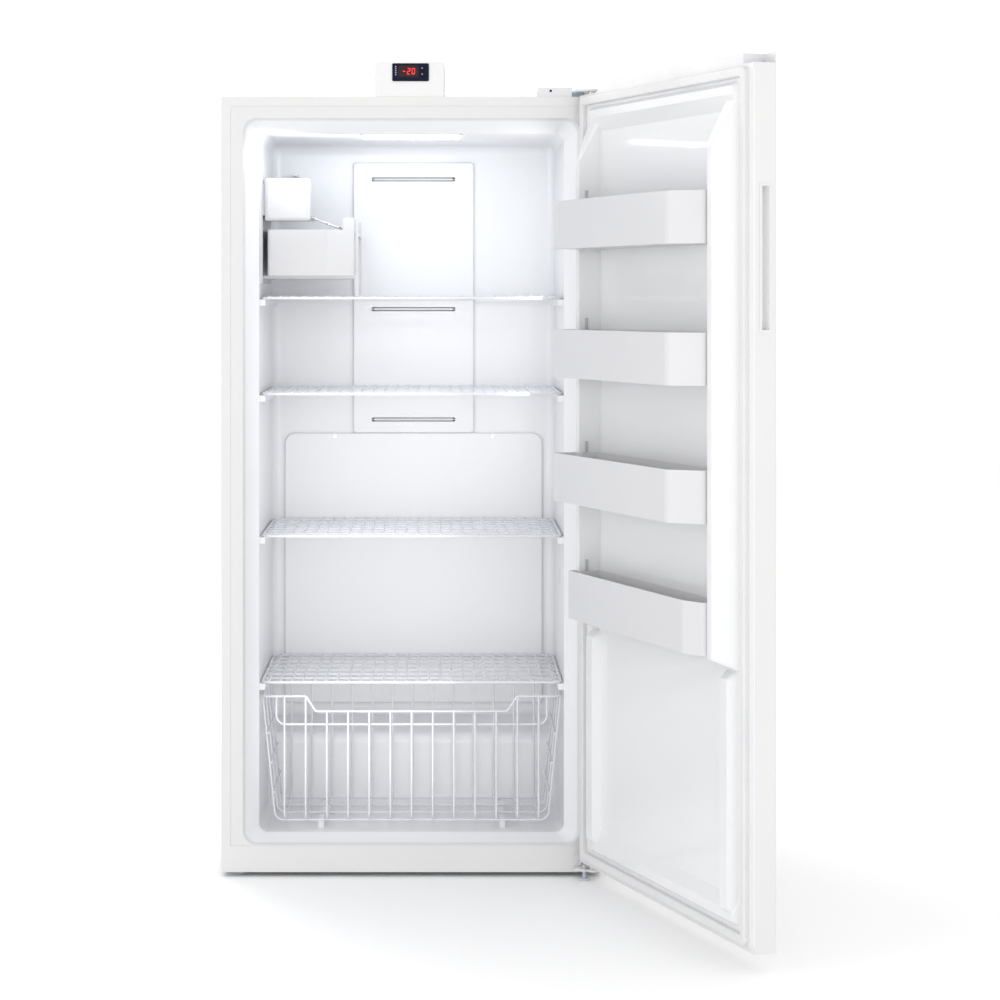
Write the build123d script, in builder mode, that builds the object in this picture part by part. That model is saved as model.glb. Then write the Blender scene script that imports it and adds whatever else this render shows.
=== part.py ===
from build123d import *
import os
from math import cos, radians, sin

os.makedirs("parts", exist_ok=True)

# Upright freezer on its feet, with its door open. X runs to the right, Y to the back, Z up.
# The origin is the middle of the cabinet's footprint, on the floor.

# Cabinet shell
cabinet_width = 825.0
cabinet_depth = 674.0
cabinet_top = 1694.0
base_clearance = 10.0  # floor to the underside of the cabinet
shell_sheet = 1.0
shell_fold = 4.0  # outer fold radius along the top
steel_edge = 20.0  # folded front edge beside and above the mouth
front_rail_height = 57.0
pan_sheet = 1.5

# Liner
liner_wall = 2.0
side_wall = 78.5  # shell to the inside face
ceiling_wall = 77.0
floor_height = 88.0
interior_depth = 495.0
mouth_edge = 46.5  # shell to the flared mouth, at the front face
mouth_top_edge = 46.0
mouth_bottom = 70.0
mouth_depth = 44.0
mouth_radius = 30.0
liner_bend = 25.0
liner_corner = 20.0
hump_reach = 150.0
hump_front_top = 250.0
hump_back_top = 275.0
recess_half = 290.0
recess_bottom = 440.0
recess_top = 930.0
recess_depth = 105.0
duct_half = 120.0
duct_top = 1570.0
duct_depth = 25.0

# Clearances
sheet_gap = 0.3  # between neighbours that are fixed side by side
seat_gap = 0.2  # under what is lifted or slid
running_gap = 0.05  # radial, shaft in its hole
screw_gap = 0.1

# Machine compartment
compartment_depth = 264.0
compartment_height = 197.0
cover_sheet = 1.5
flange_height = 14.5

# Shelves and basket
shelf_heights = [1257.0, 1046.0, 734.0, 413.0]
shelf_half = 331.0
shelf_front = 58.0  # behind the front face
shelf_back = 484.0
rail_radius = 3.0
rung_radius = 2.2
wire_radius = 1.8
wire_pitch = 25.0
rung_count = 6
weld_sink = 0.6  # how deep welded wires bite into each other
ledge_width = 12.0
ledge_height = 14.0
basket_top_half = 328.0
basket_bottom_half = 300.0
basket_front = 57.0
basket_back = 330.0
basket_rim = 383.0
basket_dip = 350.0
basket_band = 321.0
basket_bottom = 113.0
basket_dip_half = 210.0
basket_slope = 22.0
basket_wire = 2.5
basket_leg = 2.2
basket_pitch = 46.5
basket_wire_count = 11
basket_loops = 4
basket_loop_inset = 16.0
basket_weld_inset = 11.0
basket_band_half = 297.0
basket_side_legs = 279.0
basket_side_wires = [170.0, 235.0, 300.0]
basket_rim_bend = 15.0
basket_loop_bend = 20.0
basket_leg_bend = 14.0
side_wire_overlap = 3.0
weld_above_floor = 0.8
weld_reach = 9.0
weld_gap = 0.05  # between the panels that the basket is welded from
runner_place = 200.0
runner_width = 12.0
runner_front = 90.0

# Door
door_thickness = 48.0
door_bottom = 39.0
door_height = 1675.0
door_gap = 11.0  # cabinet face to the door's inner face, filled by the gasket
door_angle = 109.8  # how far the door stands open
hinge_inset = 20.0  # pin to the door's side
hinge_back = 23.0  # pin to the door's inner face
door_skin_sheet = 1.0
door_skin_bend = 6.0
door_liner_wall = 2.0
top_cap_height = 30.0
bottom_cap_height = 12.0
notch_depth = 20.0
hinge_notch = 97.0
free_notch = 45.0
notch_back = 4.0  # what is left of the door behind a notch
gasket_inset = 22.0
gasket_width = 18.0
gasket_height = 10.5
gasket_bottom = 50.0
gasket_top = 1688.0

# Moulded ribs of the door liner
rib_height = 45.0
rib_outer = 51.0  # door side to the foot of the rib
rib_foot = 61.0
rib_crest_start = 87.0
rib_crest = 18.0
rib_bottom = 555.0
rib_top = 1640.0
rib_top_slope = 90.0
rib_low_slope = 20.0
low_rib_height = 18.0
low_rib_bottom = 92.0
low_rib_outer = 66.0
low_rib_foot = 54.0
low_rib_crest_start = 78.0
low_rib_crest = 30.0
low_rib_slope = 14.0
rib_round = 6.0
bar_height = 10.0
bar_outer = 60.0  # door side to the bars' ends
top_bar = [1611.0, 1664.0]  # foot of the bar over the bins
top_bar_crest = [1640.0, 1656.0]
bottom_bar = [76.0, 130.0]
bottom_bar_crest = [84.0, 103.0]

# Door bins
bin_bottoms = [1360.0, 1090.0, 829.0, 579.0]
bin_reaches = [100.0, 100.0, 100.0, 66.0]
bin_height = 101.0
bin_wall = 2.5
bin_side_gap = 2.0
bin_bevel = 55.0
bin_round = 4.5
bin_front_round = 26.0
bin_side_round = 12.0
peg_width = 14.0
peg_height = 12.0
peg_lift = 44.0
peg_reach = 7.0

# Handle pocket in the free edge of the door
handle_bottom = 1197.0
handle_length = 268.0
handle_front = 16.0
handle_width = 15.0
handle_depth = 26.0
handle_wall = 2.5

# Ceiling lamp, back panels
lamp_width = 216.0
lamp_depth = 40.0
lamp_height = 10.0
lamp_place = 70.0
panel_proud = 8.0
panel_wall = 3.0
cover_half = 304.5
cover_bottom = 300.0
cover_top = 938.0
cover_corner = 25.0
duct_panel_half = 142.5
duct_panel_top = 1578.0
duct_panel_proud = 10.0
slot_half = 99.0
slot_height = 9.5
slot_heights = [970.0, 1231.0, 1538.0]
screw_place = 186.5
screw_head = 4.0
screw_head_height = 2.2
screw_shaft = 1.9

# Ice maker
ice_front = 97.0
ice_left = 324.0
ice_width = 98.0
ice_bottom = 1428.0
ice_height = 94.0
ice_box_depth = 53.0
mould_length = 192.0
mould_bottom = 1440.0
mould_height = 35.0
mould_left = 318.0
mould_width = 76.0
ice_pockets = 7
cup_length = 30.0
cup_top = 1500.0
ejector_height = 1490.0
ejector_radius = 3.0
ice_bin_left = 319.0
ice_bin_right = 127.0
ice_bin_bottom = 1306.5
ice_bin_height = 102.0
ice_bin_length = 298.0
ice_bin_lip = 26.0  # how much higher the right side stands
ice_bin_lip_start = 152.0
arm_pivot = 232.0
arm_height = 1440.0
arm_reach = 75.0
arm_drop = 20.0
arm_wire = 1.5
fill_height = 1545.0
fill_x = -275.0
fill_radius = 4.0

# Controller on the top
controller_x = -3.0
controller_width = 150.0
controller_height = 75.0
controller_depth = 90.0
controller_wall = 2.5
controller_round = 6.0
bezel_width = 79.7
bezel_height = 38.9
bezel_rise = 3.0
bezel_body_width = 71.0
bezel_body_height = 29.0
bezel_body_depth = 45.0
display_width = 44.0
display_height = 25.0
key_width = 8.0
key_height = 9.0
key_gap = 0.25
key_rise = 1.4

# Hinges, feet and rollers
pin_radius = 5.0
bush_wall = 2.0
bush_flange = 9.0
bush_flange_height = 2.0
shim_height = 9.0
hinge_plate = 4.0
hinge_arm_half = 12.0
bracket_left = 283.0
bracket_right = 388.0
foot_radius = 13.0
foot_pad = 6.0
foot_stem = 4.0
foot_x = 374.0
roller_radius = 22.0
roller_width = 20.0
roller_x = 340.0
roller_back = 45.0
axle_radius = 4.0
bolt_shaft = 3.0
bolt_head = 5.5
bolt_head_height = 4.0
bolt_length = 14.0

# Compressor, coils and fans
compressor_x = 190.0
compressor_y = 540.0
compressor_radius = 80.0
compressor_height = 150.0
mount_height = 12.5
coil_tube = 4.0

# Values that follow from the ones above
front_y = -cabinet_depth / 2
back_y = cabinet_depth / 2
half_width = cabinet_width / 2
interior_half = half_width - side_wall
interior_top = cabinet_top - ceiling_wall
wall_y = front_y + interior_depth
hump_y = wall_y - hump_reach
mouth_half = half_width - mouth_edge
mouth_top = cabinet_top - mouth_top_edge
inner_half = half_width - shell_sheet
rail_top = base_clearance + front_rail_height
pan_top = base_clearance + pan_sheet
deck_y = back_y - compartment_depth
deck_top = base_clearance + compartment_height
deck_under = deck_top - pan_sheet
door_top = door_bottom + door_height
notch_floor = door_top - notch_depth
hinge_x = half_width - hinge_inset
hinge_y = front_y - door_gap - hinge_back
foam_front = front_y + liner_wall
wire_step = basket_wire + basket_leg - weld_sink
lowest_wire = basket_bottom - wire_step

# Directions of the open door: along it from the hinge side, and outwards through its skin
along = Vector(-cos(radians(door_angle)), -sin(radians(door_angle)), 0)
outward = Vector(sin(radians(door_angle)), -cos(radians(door_angle)), 0)
door_corner = Vector(hinge_x, hinge_y, 0) - along * hinge_inset - outward * hinge_back


def front_view(y):
    """Plane across the cabinet: sketch in X and Z, positive extrusion comes forwards."""
    return Plane(origin=(0, y, 0), x_dir=(1, 0, 0), z_dir=(0, -1, 0))


def side_view(x):
    """Plane along the cabinet: sketch in Y and Z, positive extrusion goes right."""
    return Plane(origin=(x, 0, 0), x_dir=(0, 1, 0), z_dir=(1, 0, 0))


def door_plan(z):
    """Level plane of the door: sketch in distance from the hinge side and from the inner face."""
    corner = (door_corner.X, door_corner.Y, z)
    return Plane(origin=corner, x_dir=along, z_dir=(0, 0, 1))


def door_face(outer):
    """Upright plane parallel to the door: positive extrusion goes inwards."""
    return Plane(origin=door_corner + outward * outer, x_dir=along, z_dir=-outward)


def span(low_x, high_x, low_y, high_y, mode=Mode.ADD):
    """Rectangle between two corners, in the sketch that is being drawn."""
    with Locations(((low_x + high_x) / 2, (low_y + high_y) / 2)):
        Rectangle(high_x - low_x, high_y - low_y, mode=mode)


def slab(x_low, x_high, y_low, y_high, z_low, z_high, mode=Mode.ADD):
    """Block between two corners, in the part that is being built."""
    with BuildSketch(Plane.XY.offset(z_low)) as base:
        span(x_low, x_high, y_low, y_high)
    extrude(base.sketch, amount=z_high - z_low, mode=mode)


def door_slab(w_low, w_high, t_low, t_high, z_low, z_high, mode=Mode.ADD):
    """Block of the door: along it, from its inner face outwards, and up."""
    with BuildSketch(door_plan(z_low)) as base:
        span(w_low, w_high, t_low, t_high)
    extrude(base.sketch, amount=z_high - z_low, mode=mode)


def rod(plane, spots, radius, length, mode=Mode.ADD):
    """Round bars square to a plane, at the spots given in it."""
    with BuildSketch(plane) as ends:
        with Locations(*spots):
            Circle(radius)
    extrude(ends.sketch, amount=length, mode=mode)


def bent_bar(plane, points, radius, bend, closed=False):
    """Round bar along straight runs joined by bends, in one plane."""
    with BuildLine(plane) as run:
        FilletPolyline(*points, radius=bend, close=closed)
    with BuildSketch(Plane(origin=run.line @ 0, z_dir=run.line % 0)) as end:
        Circle(radius)
    sweep(end.sketch, path=run.line)


def save(piece, name):
    piece.part.label = name
    export_step(piece.part, f"parts/{name}.step")
    print(name)


def shell_outline(inset, low_z, mode=Mode.ADD):
    """Front outline of the cabinet, folded round at the top."""
    with BuildLine() as outline:
        fold = FilletPolyline(
            (-half_width + inset, low_z),
            (-half_width + inset, cabinet_top - inset),
            (half_width - inset, cabinet_top - inset),
            (half_width - inset, low_z),
            radius=shell_fold - inset,
        )
        Line(fold @ 1, fold @ 0)
    make_face(outline.edges(), mode=mode)


# ---------------------------------------------------------------- cabinet hollow


def main_space(grow):
    """Storage space behind the mouth, with the hump over the machine compartment."""
    with BuildPart() as space:
        with BuildSketch(side_view(0)):
            with BuildLine():
                Polyline(
                    (front_y + mouth_depth, floor_height),
                    (hump_y, floor_height),
                    (hump_y, hump_front_top),
                    (wall_y, hump_back_top),
                    (wall_y, interior_top),
                    (front_y + mouth_depth, interior_top),
                    close=True,
                )
            make_face()
            bends = vertices().filter_by(lambda corner: corner.X > front_y + mouth_depth + 1)
            fillet(bends, liner_bend)
            if grow:
                offset(amount=grow)
                mouth_end = front_y + mouth_depth
                span(mouth_end - 9, mouth_end, 0, cabinet_top, Mode.SUBTRACT)
        extrude(amount=interior_half + grow, both=True)
        deep = edges().filter_by(lambda edge: edge.center().Y > front_y + mouth_depth + 1)
        sides = deep.filter_by(lambda edge: abs(edge.center().X) > interior_half - 1)
        fillet(sides, liner_corner + grow)
    return space.part


def mouth_space(grow):
    """Flare from the front face in to the storage space."""
    with BuildPart() as space:
        with BuildSketch(front_view(front_y)):
            with Locations((0, (mouth_bottom + mouth_top) / 2)):
                RectangleRounded(
                    2 * (mouth_half + grow),
                    mouth_top - mouth_bottom + 2 * grow,
                    mouth_radius + grow,
                )
        with BuildSketch(front_view(front_y + mouth_depth)):
            with Locations((0, (floor_height + interior_top) / 2)):
                RectangleRounded(
                    2 * (interior_half + grow),
                    interior_top - floor_height + 2 * grow,
                    liner_corner + grow,
                )
        loft(ruled=True)
    return space.part


def back_recesses(grow, mode):
    """Evaporator recess and the air channel above it, in the back wall."""
    slab(
        -recess_half - grow,
        recess_half + grow,
        wall_y - grow,
        wall_y + recess_depth + grow,
        recess_bottom - grow,
        recess_top + grow,
        mode,
    )
    slab(
        -duct_half - grow,
        duct_half + grow,
        wall_y - grow,
        wall_y + duct_depth + grow,
        recess_top - 1,
        duct_top + grow,
        mode,
    )


liner_outside = main_space(liner_wall)
liner_inside = main_space(0)
mouth_outside = mouth_space(liner_wall)
mouth_inside = mouth_space(0)
flange_edge = half_width - steel_edge - sheet_gap

with BuildPart() as inner_liner:
    add(liner_outside)
    add(mouth_outside)
    back_recesses(liner_wall, Mode.ADD)
    slab(
        -flange_edge,
        flange_edge,
        front_y,
        front_y + liner_wall,
        rail_top + sheet_gap,
        cabinet_top - steel_edge - sheet_gap,
    )
    add(liner_inside, mode=Mode.SUBTRACT)
    add(mouth_inside, mode=Mode.SUBTRACT)
    back_recesses(0, Mode.SUBTRACT)
    for side in (-1, 1):
        wall_x = side * (interior_half + 1)
        ledge_x = side * (interior_half - ledge_width)
        for height in shelf_heights:
            ledge_top = height - rail_radius
            slab(
                min(wall_x, ledge_x),
                max(wall_x, ledge_x),
                front_y + shelf_front + 6,
                front_y + shelf_back - 8,
                ledge_top - ledge_height,
                ledge_top,
            )
        slab(
            side * runner_place - runner_width / 2,
            side * runner_place + runner_width / 2,
            front_y + runner_front,
            hump_y - liner_bend,
            floor_height - 1,
            lowest_wire - basket_leg - seat_gap,
        )
    rod(front_view(wall_y - 5), [(fill_x, fill_height)], fill_radius + 0.5, -20, Mode.SUBTRACT)
    rod(
        front_view(wall_y - 5),
        [(-screw_place, cover_top - 8), (screw_place, cover_top - 8)],
        screw_shaft + screw_gap,
        -20,
        Mode.SUBTRACT,
    )
save(inner_liner, "inner_liner")

# ---------------------------------------------------------------- shell, pan and foam

top_bolts = [(bracket_left + 14, front_y + 40), (bracket_left + 54, front_y + 40)]
low_bolt_height = 31.5  # heads clear the door's bottom edge
low_bolts = [(hinge_x - 28, low_bolt_height), (hinge_x - 4, low_bolt_height)]
low_plate_top = 48.0

with BuildPart() as outer_shell:
    with BuildSketch(front_view(front_y)):
        shell_outline(0, base_clearance)
        shell_outline(shell_sheet, base_clearance - 1, Mode.SUBTRACT)
    extrude(amount=-cabinet_depth)
    with BuildSketch(front_view(front_y)):
        shell_outline(0, base_clearance)
        span(
            -half_width + steel_edge,
            half_width - steel_edge,
            rail_top,
            cabinet_top - steel_edge,
            Mode.SUBTRACT,
        )
    extrude(amount=-shell_sheet)
    rod(Plane.XY.offset(cabinet_top + 1), top_bolts, bolt_shaft + screw_gap, -4, Mode.SUBTRACT)
    rod(front_view(front_y - 1), low_bolts, bolt_shaft + screw_gap, -4, Mode.SUBTRACT)
save(outer_shell, "outer_shell")

# ---------------------------------------------------------------- base and rear

foot_front_y = front_y + 40.0
roller_y = back_y - roller_back
ear_gap = 1.5
ear_sheet = 2.0
ear_half = roller_width / 2 + ear_gap + ear_sheet
nut_radius = 9.0
nut_height = 8.0
flange_y = back_y - cover_sheet - pan_sheet
cover_screw_x = inner_half - 16.5
cover_screws = [
    (x, z)
    for x in (-cover_screw_x, 0, cover_screw_x)
    for z in (pan_top + flange_height / 2, deck_under - flange_height / 2)
]
valve_z = 45.0
valve_thread = 5.55
tube_exit_z = 140.0
gland_x = 320.0
gland_z = 60.0
gland_radius = 9.0

with BuildPart() as base_pan:
    front_edge = front_y + shell_sheet
    rear_edge = back_y - cover_sheet
    slab(-inner_half, inner_half, front_edge, rear_edge, base_clearance, pan_top)
    slab(-inner_half, inner_half, deck_y, deck_y + pan_sheet, base_clearance, deck_top)
    slab(-inner_half, inner_half, deck_y, rear_edge, deck_under, deck_top)
    slab(-inner_half, inner_half, flange_y, rear_edge, pan_top, pan_top + flange_height)
    slab(-inner_half, inner_half, flange_y, rear_edge, deck_under - flange_height, deck_under)
    rod(Plane.XY.offset(pan_top), [(-foot_x, foot_front_y)], nut_radius, nut_height)
    stem_hole = foot_stem + running_gap
    rod(Plane.XY.offset(0), [(-foot_x, foot_front_y)], stem_hole, 40, Mode.SUBTRACT)
    for side in (-1, 1):
        roller_centre = side * roller_x
        slab(
            roller_centre - roller_width / 2 - ear_gap,
            roller_centre + roller_width / 2 + ear_gap,
            roller_y - roller_radius - ear_gap,
            roller_y + roller_radius + ear_gap,
            base_clearance - 1,
            pan_top + 1,
            Mode.SUBTRACT,
        )
        for face in (-1, 1):
            ear_centre = roller_centre + face * (ear_half - ear_sheet / 2)
            slab(
                ear_centre - ear_sheet / 2,
                ear_centre + ear_sheet / 2,
                roller_y - 3 * axle_radius,
                roller_y + 3 * axle_radius,
                base_clearance,
                roller_radius + 3 * axle_radius,
            )
        rod(
            side_view(roller_centre - ear_half + ear_sheet / 2),
            [(roller_y, roller_radius)],
            axle_radius,
            2 * ear_half - ear_sheet,
        )
    rod(front_view(back_y), cover_screws, screw_shaft + screw_gap, 5, Mode.SUBTRACT)
save(base_pan, "base_pan")

for name, side in (("left_roller", -1), ("right_roller", 1)):
    with BuildPart() as roller:
        ends = side_view(side * roller_x - roller_width / 2)
        rod(ends, [(roller_y, roller_radius)], roller_radius, roller_width)
        fillet(roller.edges().filter_by(GeomType.CIRCLE), 2.5)
        bore = axle_radius + running_gap
        rod(ends, [(roller_y, roller_radius)], bore, roller_width, Mode.SUBTRACT)
    save(roller, name)

foot_places = {
    "left_foot": (-foot_x, foot_front_y, pan_top + nut_height + 8),
    "right_foot": (foot_x, hinge_y + 2, door_bottom - 5),
}
for name, (foot_spot_x, foot_spot_y, stem_top) in foot_places.items():
    with BuildPart() as foot:
        rod(Plane.XY, [(foot_spot_x, foot_spot_y)], foot_radius, foot_pad)
        fillet(foot.edges().group_by(Axis.Z)[-1], 2)
        stem_base = Plane.XY.offset(foot_pad)
        rod(stem_base, [(foot_spot_x, foot_spot_y)], foot_stem, stem_top - foot_pad)
    save(foot, name)

with BuildPart() as back_panel:
    with BuildSketch(front_view(back_y)):
        shell_outline(shell_sheet, deck_top + sheet_gap)
    extrude(amount=shell_sheet)
    rod(front_view(back_y + 1), [(fill_x, fill_height)], fill_radius + 1, 5, Mode.SUBTRACT)
save(back_panel, "back_panel")

with BuildPart() as machine_cover:
    with BuildSketch(front_view(back_y)):
        cover_edge = inner_half - sheet_gap
        span(-cover_edge, cover_edge, base_clearance + sheet_gap, deck_top - sheet_gap)
        middle = (base_clearance + deck_top) / 2
        with Locations((-110, middle + 4), (110, middle + 4)):
            with GridLocations(95, 14, 2, 9):
                SlotOverall(80, 6, mode=Mode.SUBTRACT)
        with Locations(*cover_screws):
            Circle(screw_shaft + screw_gap, mode=Mode.SUBTRACT)
        with Locations((fill_x, valve_z)):
            Circle(valve_thread + 1.5, mode=Mode.SUBTRACT)
        with Locations((fill_x, tube_exit_z)):
            Circle(fill_radius + 1, mode=Mode.SUBTRACT)
        with Locations((gland_x, gland_z)):
            Circle(gland_radius + screw_gap, mode=Mode.SUBTRACT)
    extrude(amount=cover_sheet)
save(machine_cover, "machine_cover")

panel_y = wall_y - panel_proud
front_screws = [(-screw_place, cover_top - 8), (screw_place, cover_top - 8)]
with BuildPart() as panel_screws:
    rod(front_view(panel_y), front_screws, screw_head, screw_head_height)
    rod(front_view(panel_y), front_screws, screw_shaft, -panel_proud - liner_wall)
    rod(front_view(back_y), cover_screws, screw_head, -screw_head_height)
    rod(front_view(back_y), cover_screws, screw_shaft, cover_sheet + pan_sheet)
save(panel_screws, "panel_screws")

with BuildPart() as insulation_foam:
    with BuildSketch(front_view(foam_front)):
        shell_outline(shell_sheet, pan_top)
    extrude(amount=-(back_y - shell_sheet - foam_front))
    add(liner_outside, mode=Mode.SUBTRACT)
    add(mouth_outside, mode=Mode.SUBTRACT)
    back_recesses(liner_wall, Mode.SUBTRACT)
    slab(
        -half_width,
        half_width,
        deck_y,
        back_y,
        base_clearance,
        deck_top,
        Mode.SUBTRACT,
    )
    nut_pocket = nut_radius + 1
    rod(Plane.XY, [(-foot_x, foot_front_y)], nut_pocket, pan_top + 30, Mode.SUBTRACT)
    rod(Plane.XY.offset(cabinet_top), top_bolts, bolt_shaft + 1, -20, Mode.SUBTRACT)
    rod(front_view(front_y), low_bolts, bolt_shaft + 1, -20, Mode.SUBTRACT)
    tube_pocket = fill_radius + 0.5
    rod(front_view(wall_y), [(fill_x, fill_height)], tube_pocket, -200, Mode.SUBTRACT)
save(insulation_foam, "insulation_foam")

# ---------------------------------------------------------------- lamp and back panels

with BuildPart() as lamp_lens:
    slab(
        -lamp_width / 2,
        lamp_width / 2,
        front_y + lamp_place - lamp_depth / 2,
        front_y + lamp_place + lamp_depth / 2,
        interior_top - lamp_height,
        interior_top,
    )
    fillet(lamp_lens.edges().filter_by(Axis.Z), 10)
    fillet(lamp_lens.edges().group_by(Axis.Z)[0], 4)
save(lamp_lens, "lamp_lens")

with BuildPart() as air_duct_panel:
    with BuildSketch(front_view(wall_y)):
        low = cover_top + sheet_gap
        with Locations((0, (low + duct_panel_top) / 2)):
            RectangleRounded(2 * duct_panel_half, duct_panel_top - low, 8)
    extrude(amount=duct_panel_proud)
    fillet(air_duct_panel.edges().group_by(Axis.Y)[0], 3)
    slab(
        -duct_panel_half + panel_wall,
        duct_panel_half - panel_wall,
        wall_y - duct_panel_proud + panel_wall,
        wall_y + 1,
        low + panel_wall,
        duct_panel_top - panel_wall,
        Mode.SUBTRACT,
    )
    with BuildSketch(front_view(wall_y)):
        for height in slot_heights:
            with Locations((0, height)):
                RectangleRounded(2 * slot_half, slot_height, 3)
    extrude(amount=duct_panel_proud + 1, mode=Mode.SUBTRACT)
save(air_duct_panel, "air_duct_panel")

with BuildPart() as evaporator_cover:
    with BuildSketch(front_view(wall_y)) as outline:
        span(-cover_half, cover_half, cover_bottom, cover_top)
        fillet(outline.vertices().group_by(Axis.Y)[-1], cover_corner)
        fillet(outline.vertices().group_by(Axis.Y)[0], 8)
    extrude(amount=panel_proud)
    fillet(evaporator_cover.edges().group_by(Axis.Y)[0], 3)
    with BuildSketch(front_view(wall_y)) as inside:
        span(
            -cover_half + panel_wall,
            cover_half - panel_wall,
            cover_bottom + panel_wall,
            cover_top - panel_wall,
        )
        fillet(inside.vertices().group_by(Axis.Y)[-1], cover_corner - panel_wall)
        fillet(inside.vertices().group_by(Axis.Y)[0], 8 - panel_wall)
    extrude(amount=panel_proud - panel_wall, mode=Mode.SUBTRACT)
    rod(front_view(wall_y), front_screws, screw_head, panel_proud - 1)
    rod(
        front_view(wall_y),
        front_screws,
        screw_shaft + screw_gap,
        panel_proud + 1,
        Mode.SUBTRACT,
    )
    with BuildSketch(Plane.XY.offset(cover_bottom - 1)):
        with Locations((0, wall_y - panel_proud / 2 + 1)):
            with GridLocations(40, 1, 13, 1):
                Rectangle(30, 3)
    extrude(amount=panel_wall + 2, mode=Mode.SUBTRACT)
save(evaporator_cover, "evaporator_cover")

# ---------------------------------------------------------------- coils and fans


def finned_coil(x_reach, layers, z_low, pitch, fins, plates):
    """Tube bent to and fro in each layer, with fins across it and a plate at each end.

    x_reach: the bends' two ends; fins: how many, pitch, y span and z span;
    plates: half distance apart, y span and z span.
    """
    x_low, x_high = x_reach
    middle = (x_low + x_high) / 2
    fin_count, fin_pitch, (fin_front, fin_back), (fin_bottom, fin_top) = fins
    plate_half, (plate_front, plate_back), (plate_bottom, plate_top) = plates
    turns = []
    for level in range(5):
        ends = (x_low, x_high) if level % 2 == 0 else (x_high, x_low)
        turns += [(end, z_low + level * pitch) for end in ends]
    with BuildPart() as coil:
        for y in layers:
            bent_bar(front_view(y), turns, coil_tube, 0.49 * pitch)
        rod(front_view(layers[0]), [(x_low, z_low)], coil_tube, layers[0] - layers[1])
        with BuildSketch(Plane.XY.offset(fin_bottom)):
            with Locations((middle, (fin_front + fin_back) / 2)):
                with GridLocations(fin_pitch, 1, fin_count, 1):
                    Rectangle(1, fin_back - fin_front)
        extrude(amount=fin_top - fin_bottom)
        for side in (-1, 1):
            plate_x = middle + side * plate_half
            slab(plate_x - 1, plate_x + 1, plate_front, plate_back, plate_bottom, plate_top)
    return coil


def fan_blade(centre, facing, across, hub_radius, hub_length, reach, chord, blades, shaft):
    """Fan wheel with its shaft behind the hub; facing points away from its motor."""
    thickness = 1.6
    with BuildPart(Plane(origin=centre, x_dir=across, z_dir=facing)) as wheel:
        Cylinder(hub_radius, hub_length)
        with PolarLocations((hub_radius + reach) / 2 - 0.5, blades):
            Box(reach - hub_radius + 1, thickness, chord, rotation=(40, 0, 0))
        with Locations((0, 0, -hub_length / 2 - shaft / 2)):
            Cylinder(3, shaft)
    return wheel


coil_layers = (wall_y + 30, wall_y + 70)
evaporator_fins = (15, 30, (wall_y + 12, wall_y + 90), (490, 750))
evaporator_plates = (232, (wall_y + 12, wall_y + recess_depth), (490, 750))
evaporator_coil = finned_coil(
    (-262, 262), coil_layers, 510, 55, evaporator_fins, evaporator_plates
)
save(evaporator_coil, "evaporator_coil")

with BuildPart() as defrost_heater:
    heater_half = 276.0
    heater_run = [
        (-heater_half, 640),
        (-heater_half, 462),
        (heater_half, 462),
        (heater_half, 640),
    ]
    bent_bar(front_view(wall_y + 50), heater_run, 4, 18)
    pins = [(-heater_half, 600), (heater_half, 600)]
    rod(front_view(wall_y + 50), pins, 3, 50 - recess_depth)
save(defrost_heater, "defrost_heater")

fan_z = 855.0
with BuildPart() as evaporator_fan_motor:
    rod(front_view(wall_y + recess_depth), [(0, fan_z)], 25, 39)
    slab(
        -70,
        70,
        wall_y + recess_depth - 3,
        wall_y + recess_depth,
        fan_z - 8,
        fan_z + 8,
    )
    shaft_hole = 3 + running_gap
    rod(front_view(wall_y + 66 + 14), [(0, fan_z)], shaft_hole, 15, Mode.SUBTRACT)
save(evaporator_fan_motor, "evaporator_fan_motor")

evaporator_fan_blade = fan_blade(
    (0, wall_y + 42, fan_z), (0, -1, 0), (1, 0, 0), 13, 20, 52, 22, 5, 26
)
save(evaporator_fan_blade, "evaporator_fan_blade")

machine_y = front_y + compressor_y
condenser_layers = (front_y + 450, machine_y - 20)
condenser_ends = (-372, -160)
condenser_pitch = 28.0
condenser_low = 52.0
condenser_top = condenser_low + 4 * condenser_pitch
condenser_y = (condenser_layers[0] - 13, condenser_layers[1] + 15)
condenser_fins = (8, 20, condenser_y, (condenser_low - 10, condenser_top + 10))
condenser_plates = (88, condenser_y, (pan_top, condenser_top + 10))
condenser_coil = finned_coil(
    condenser_ends,
    condenser_layers,
    condenser_low,
    condenser_pitch,
    condenser_fins,
    condenser_plates,
)
save(condenser_coil, "condenser_coil")

with BuildPart() as drip_pan:
    tray_middle = (condenser_ends[0] + condenser_ends[1]) / 2
    slab(tray_middle - 84, tray_middle + 84, *condenser_y, pan_top, pan_top + 18)
    slab(
        tray_middle - 82,
        tray_middle + 82,
        condenser_y[0] + 2,
        condenser_y[1] - 2,
        pan_top + 2,
        pan_top + 19,
        Mode.SUBTRACT,
    )
save(drip_pan, "drip_pan")

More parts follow.
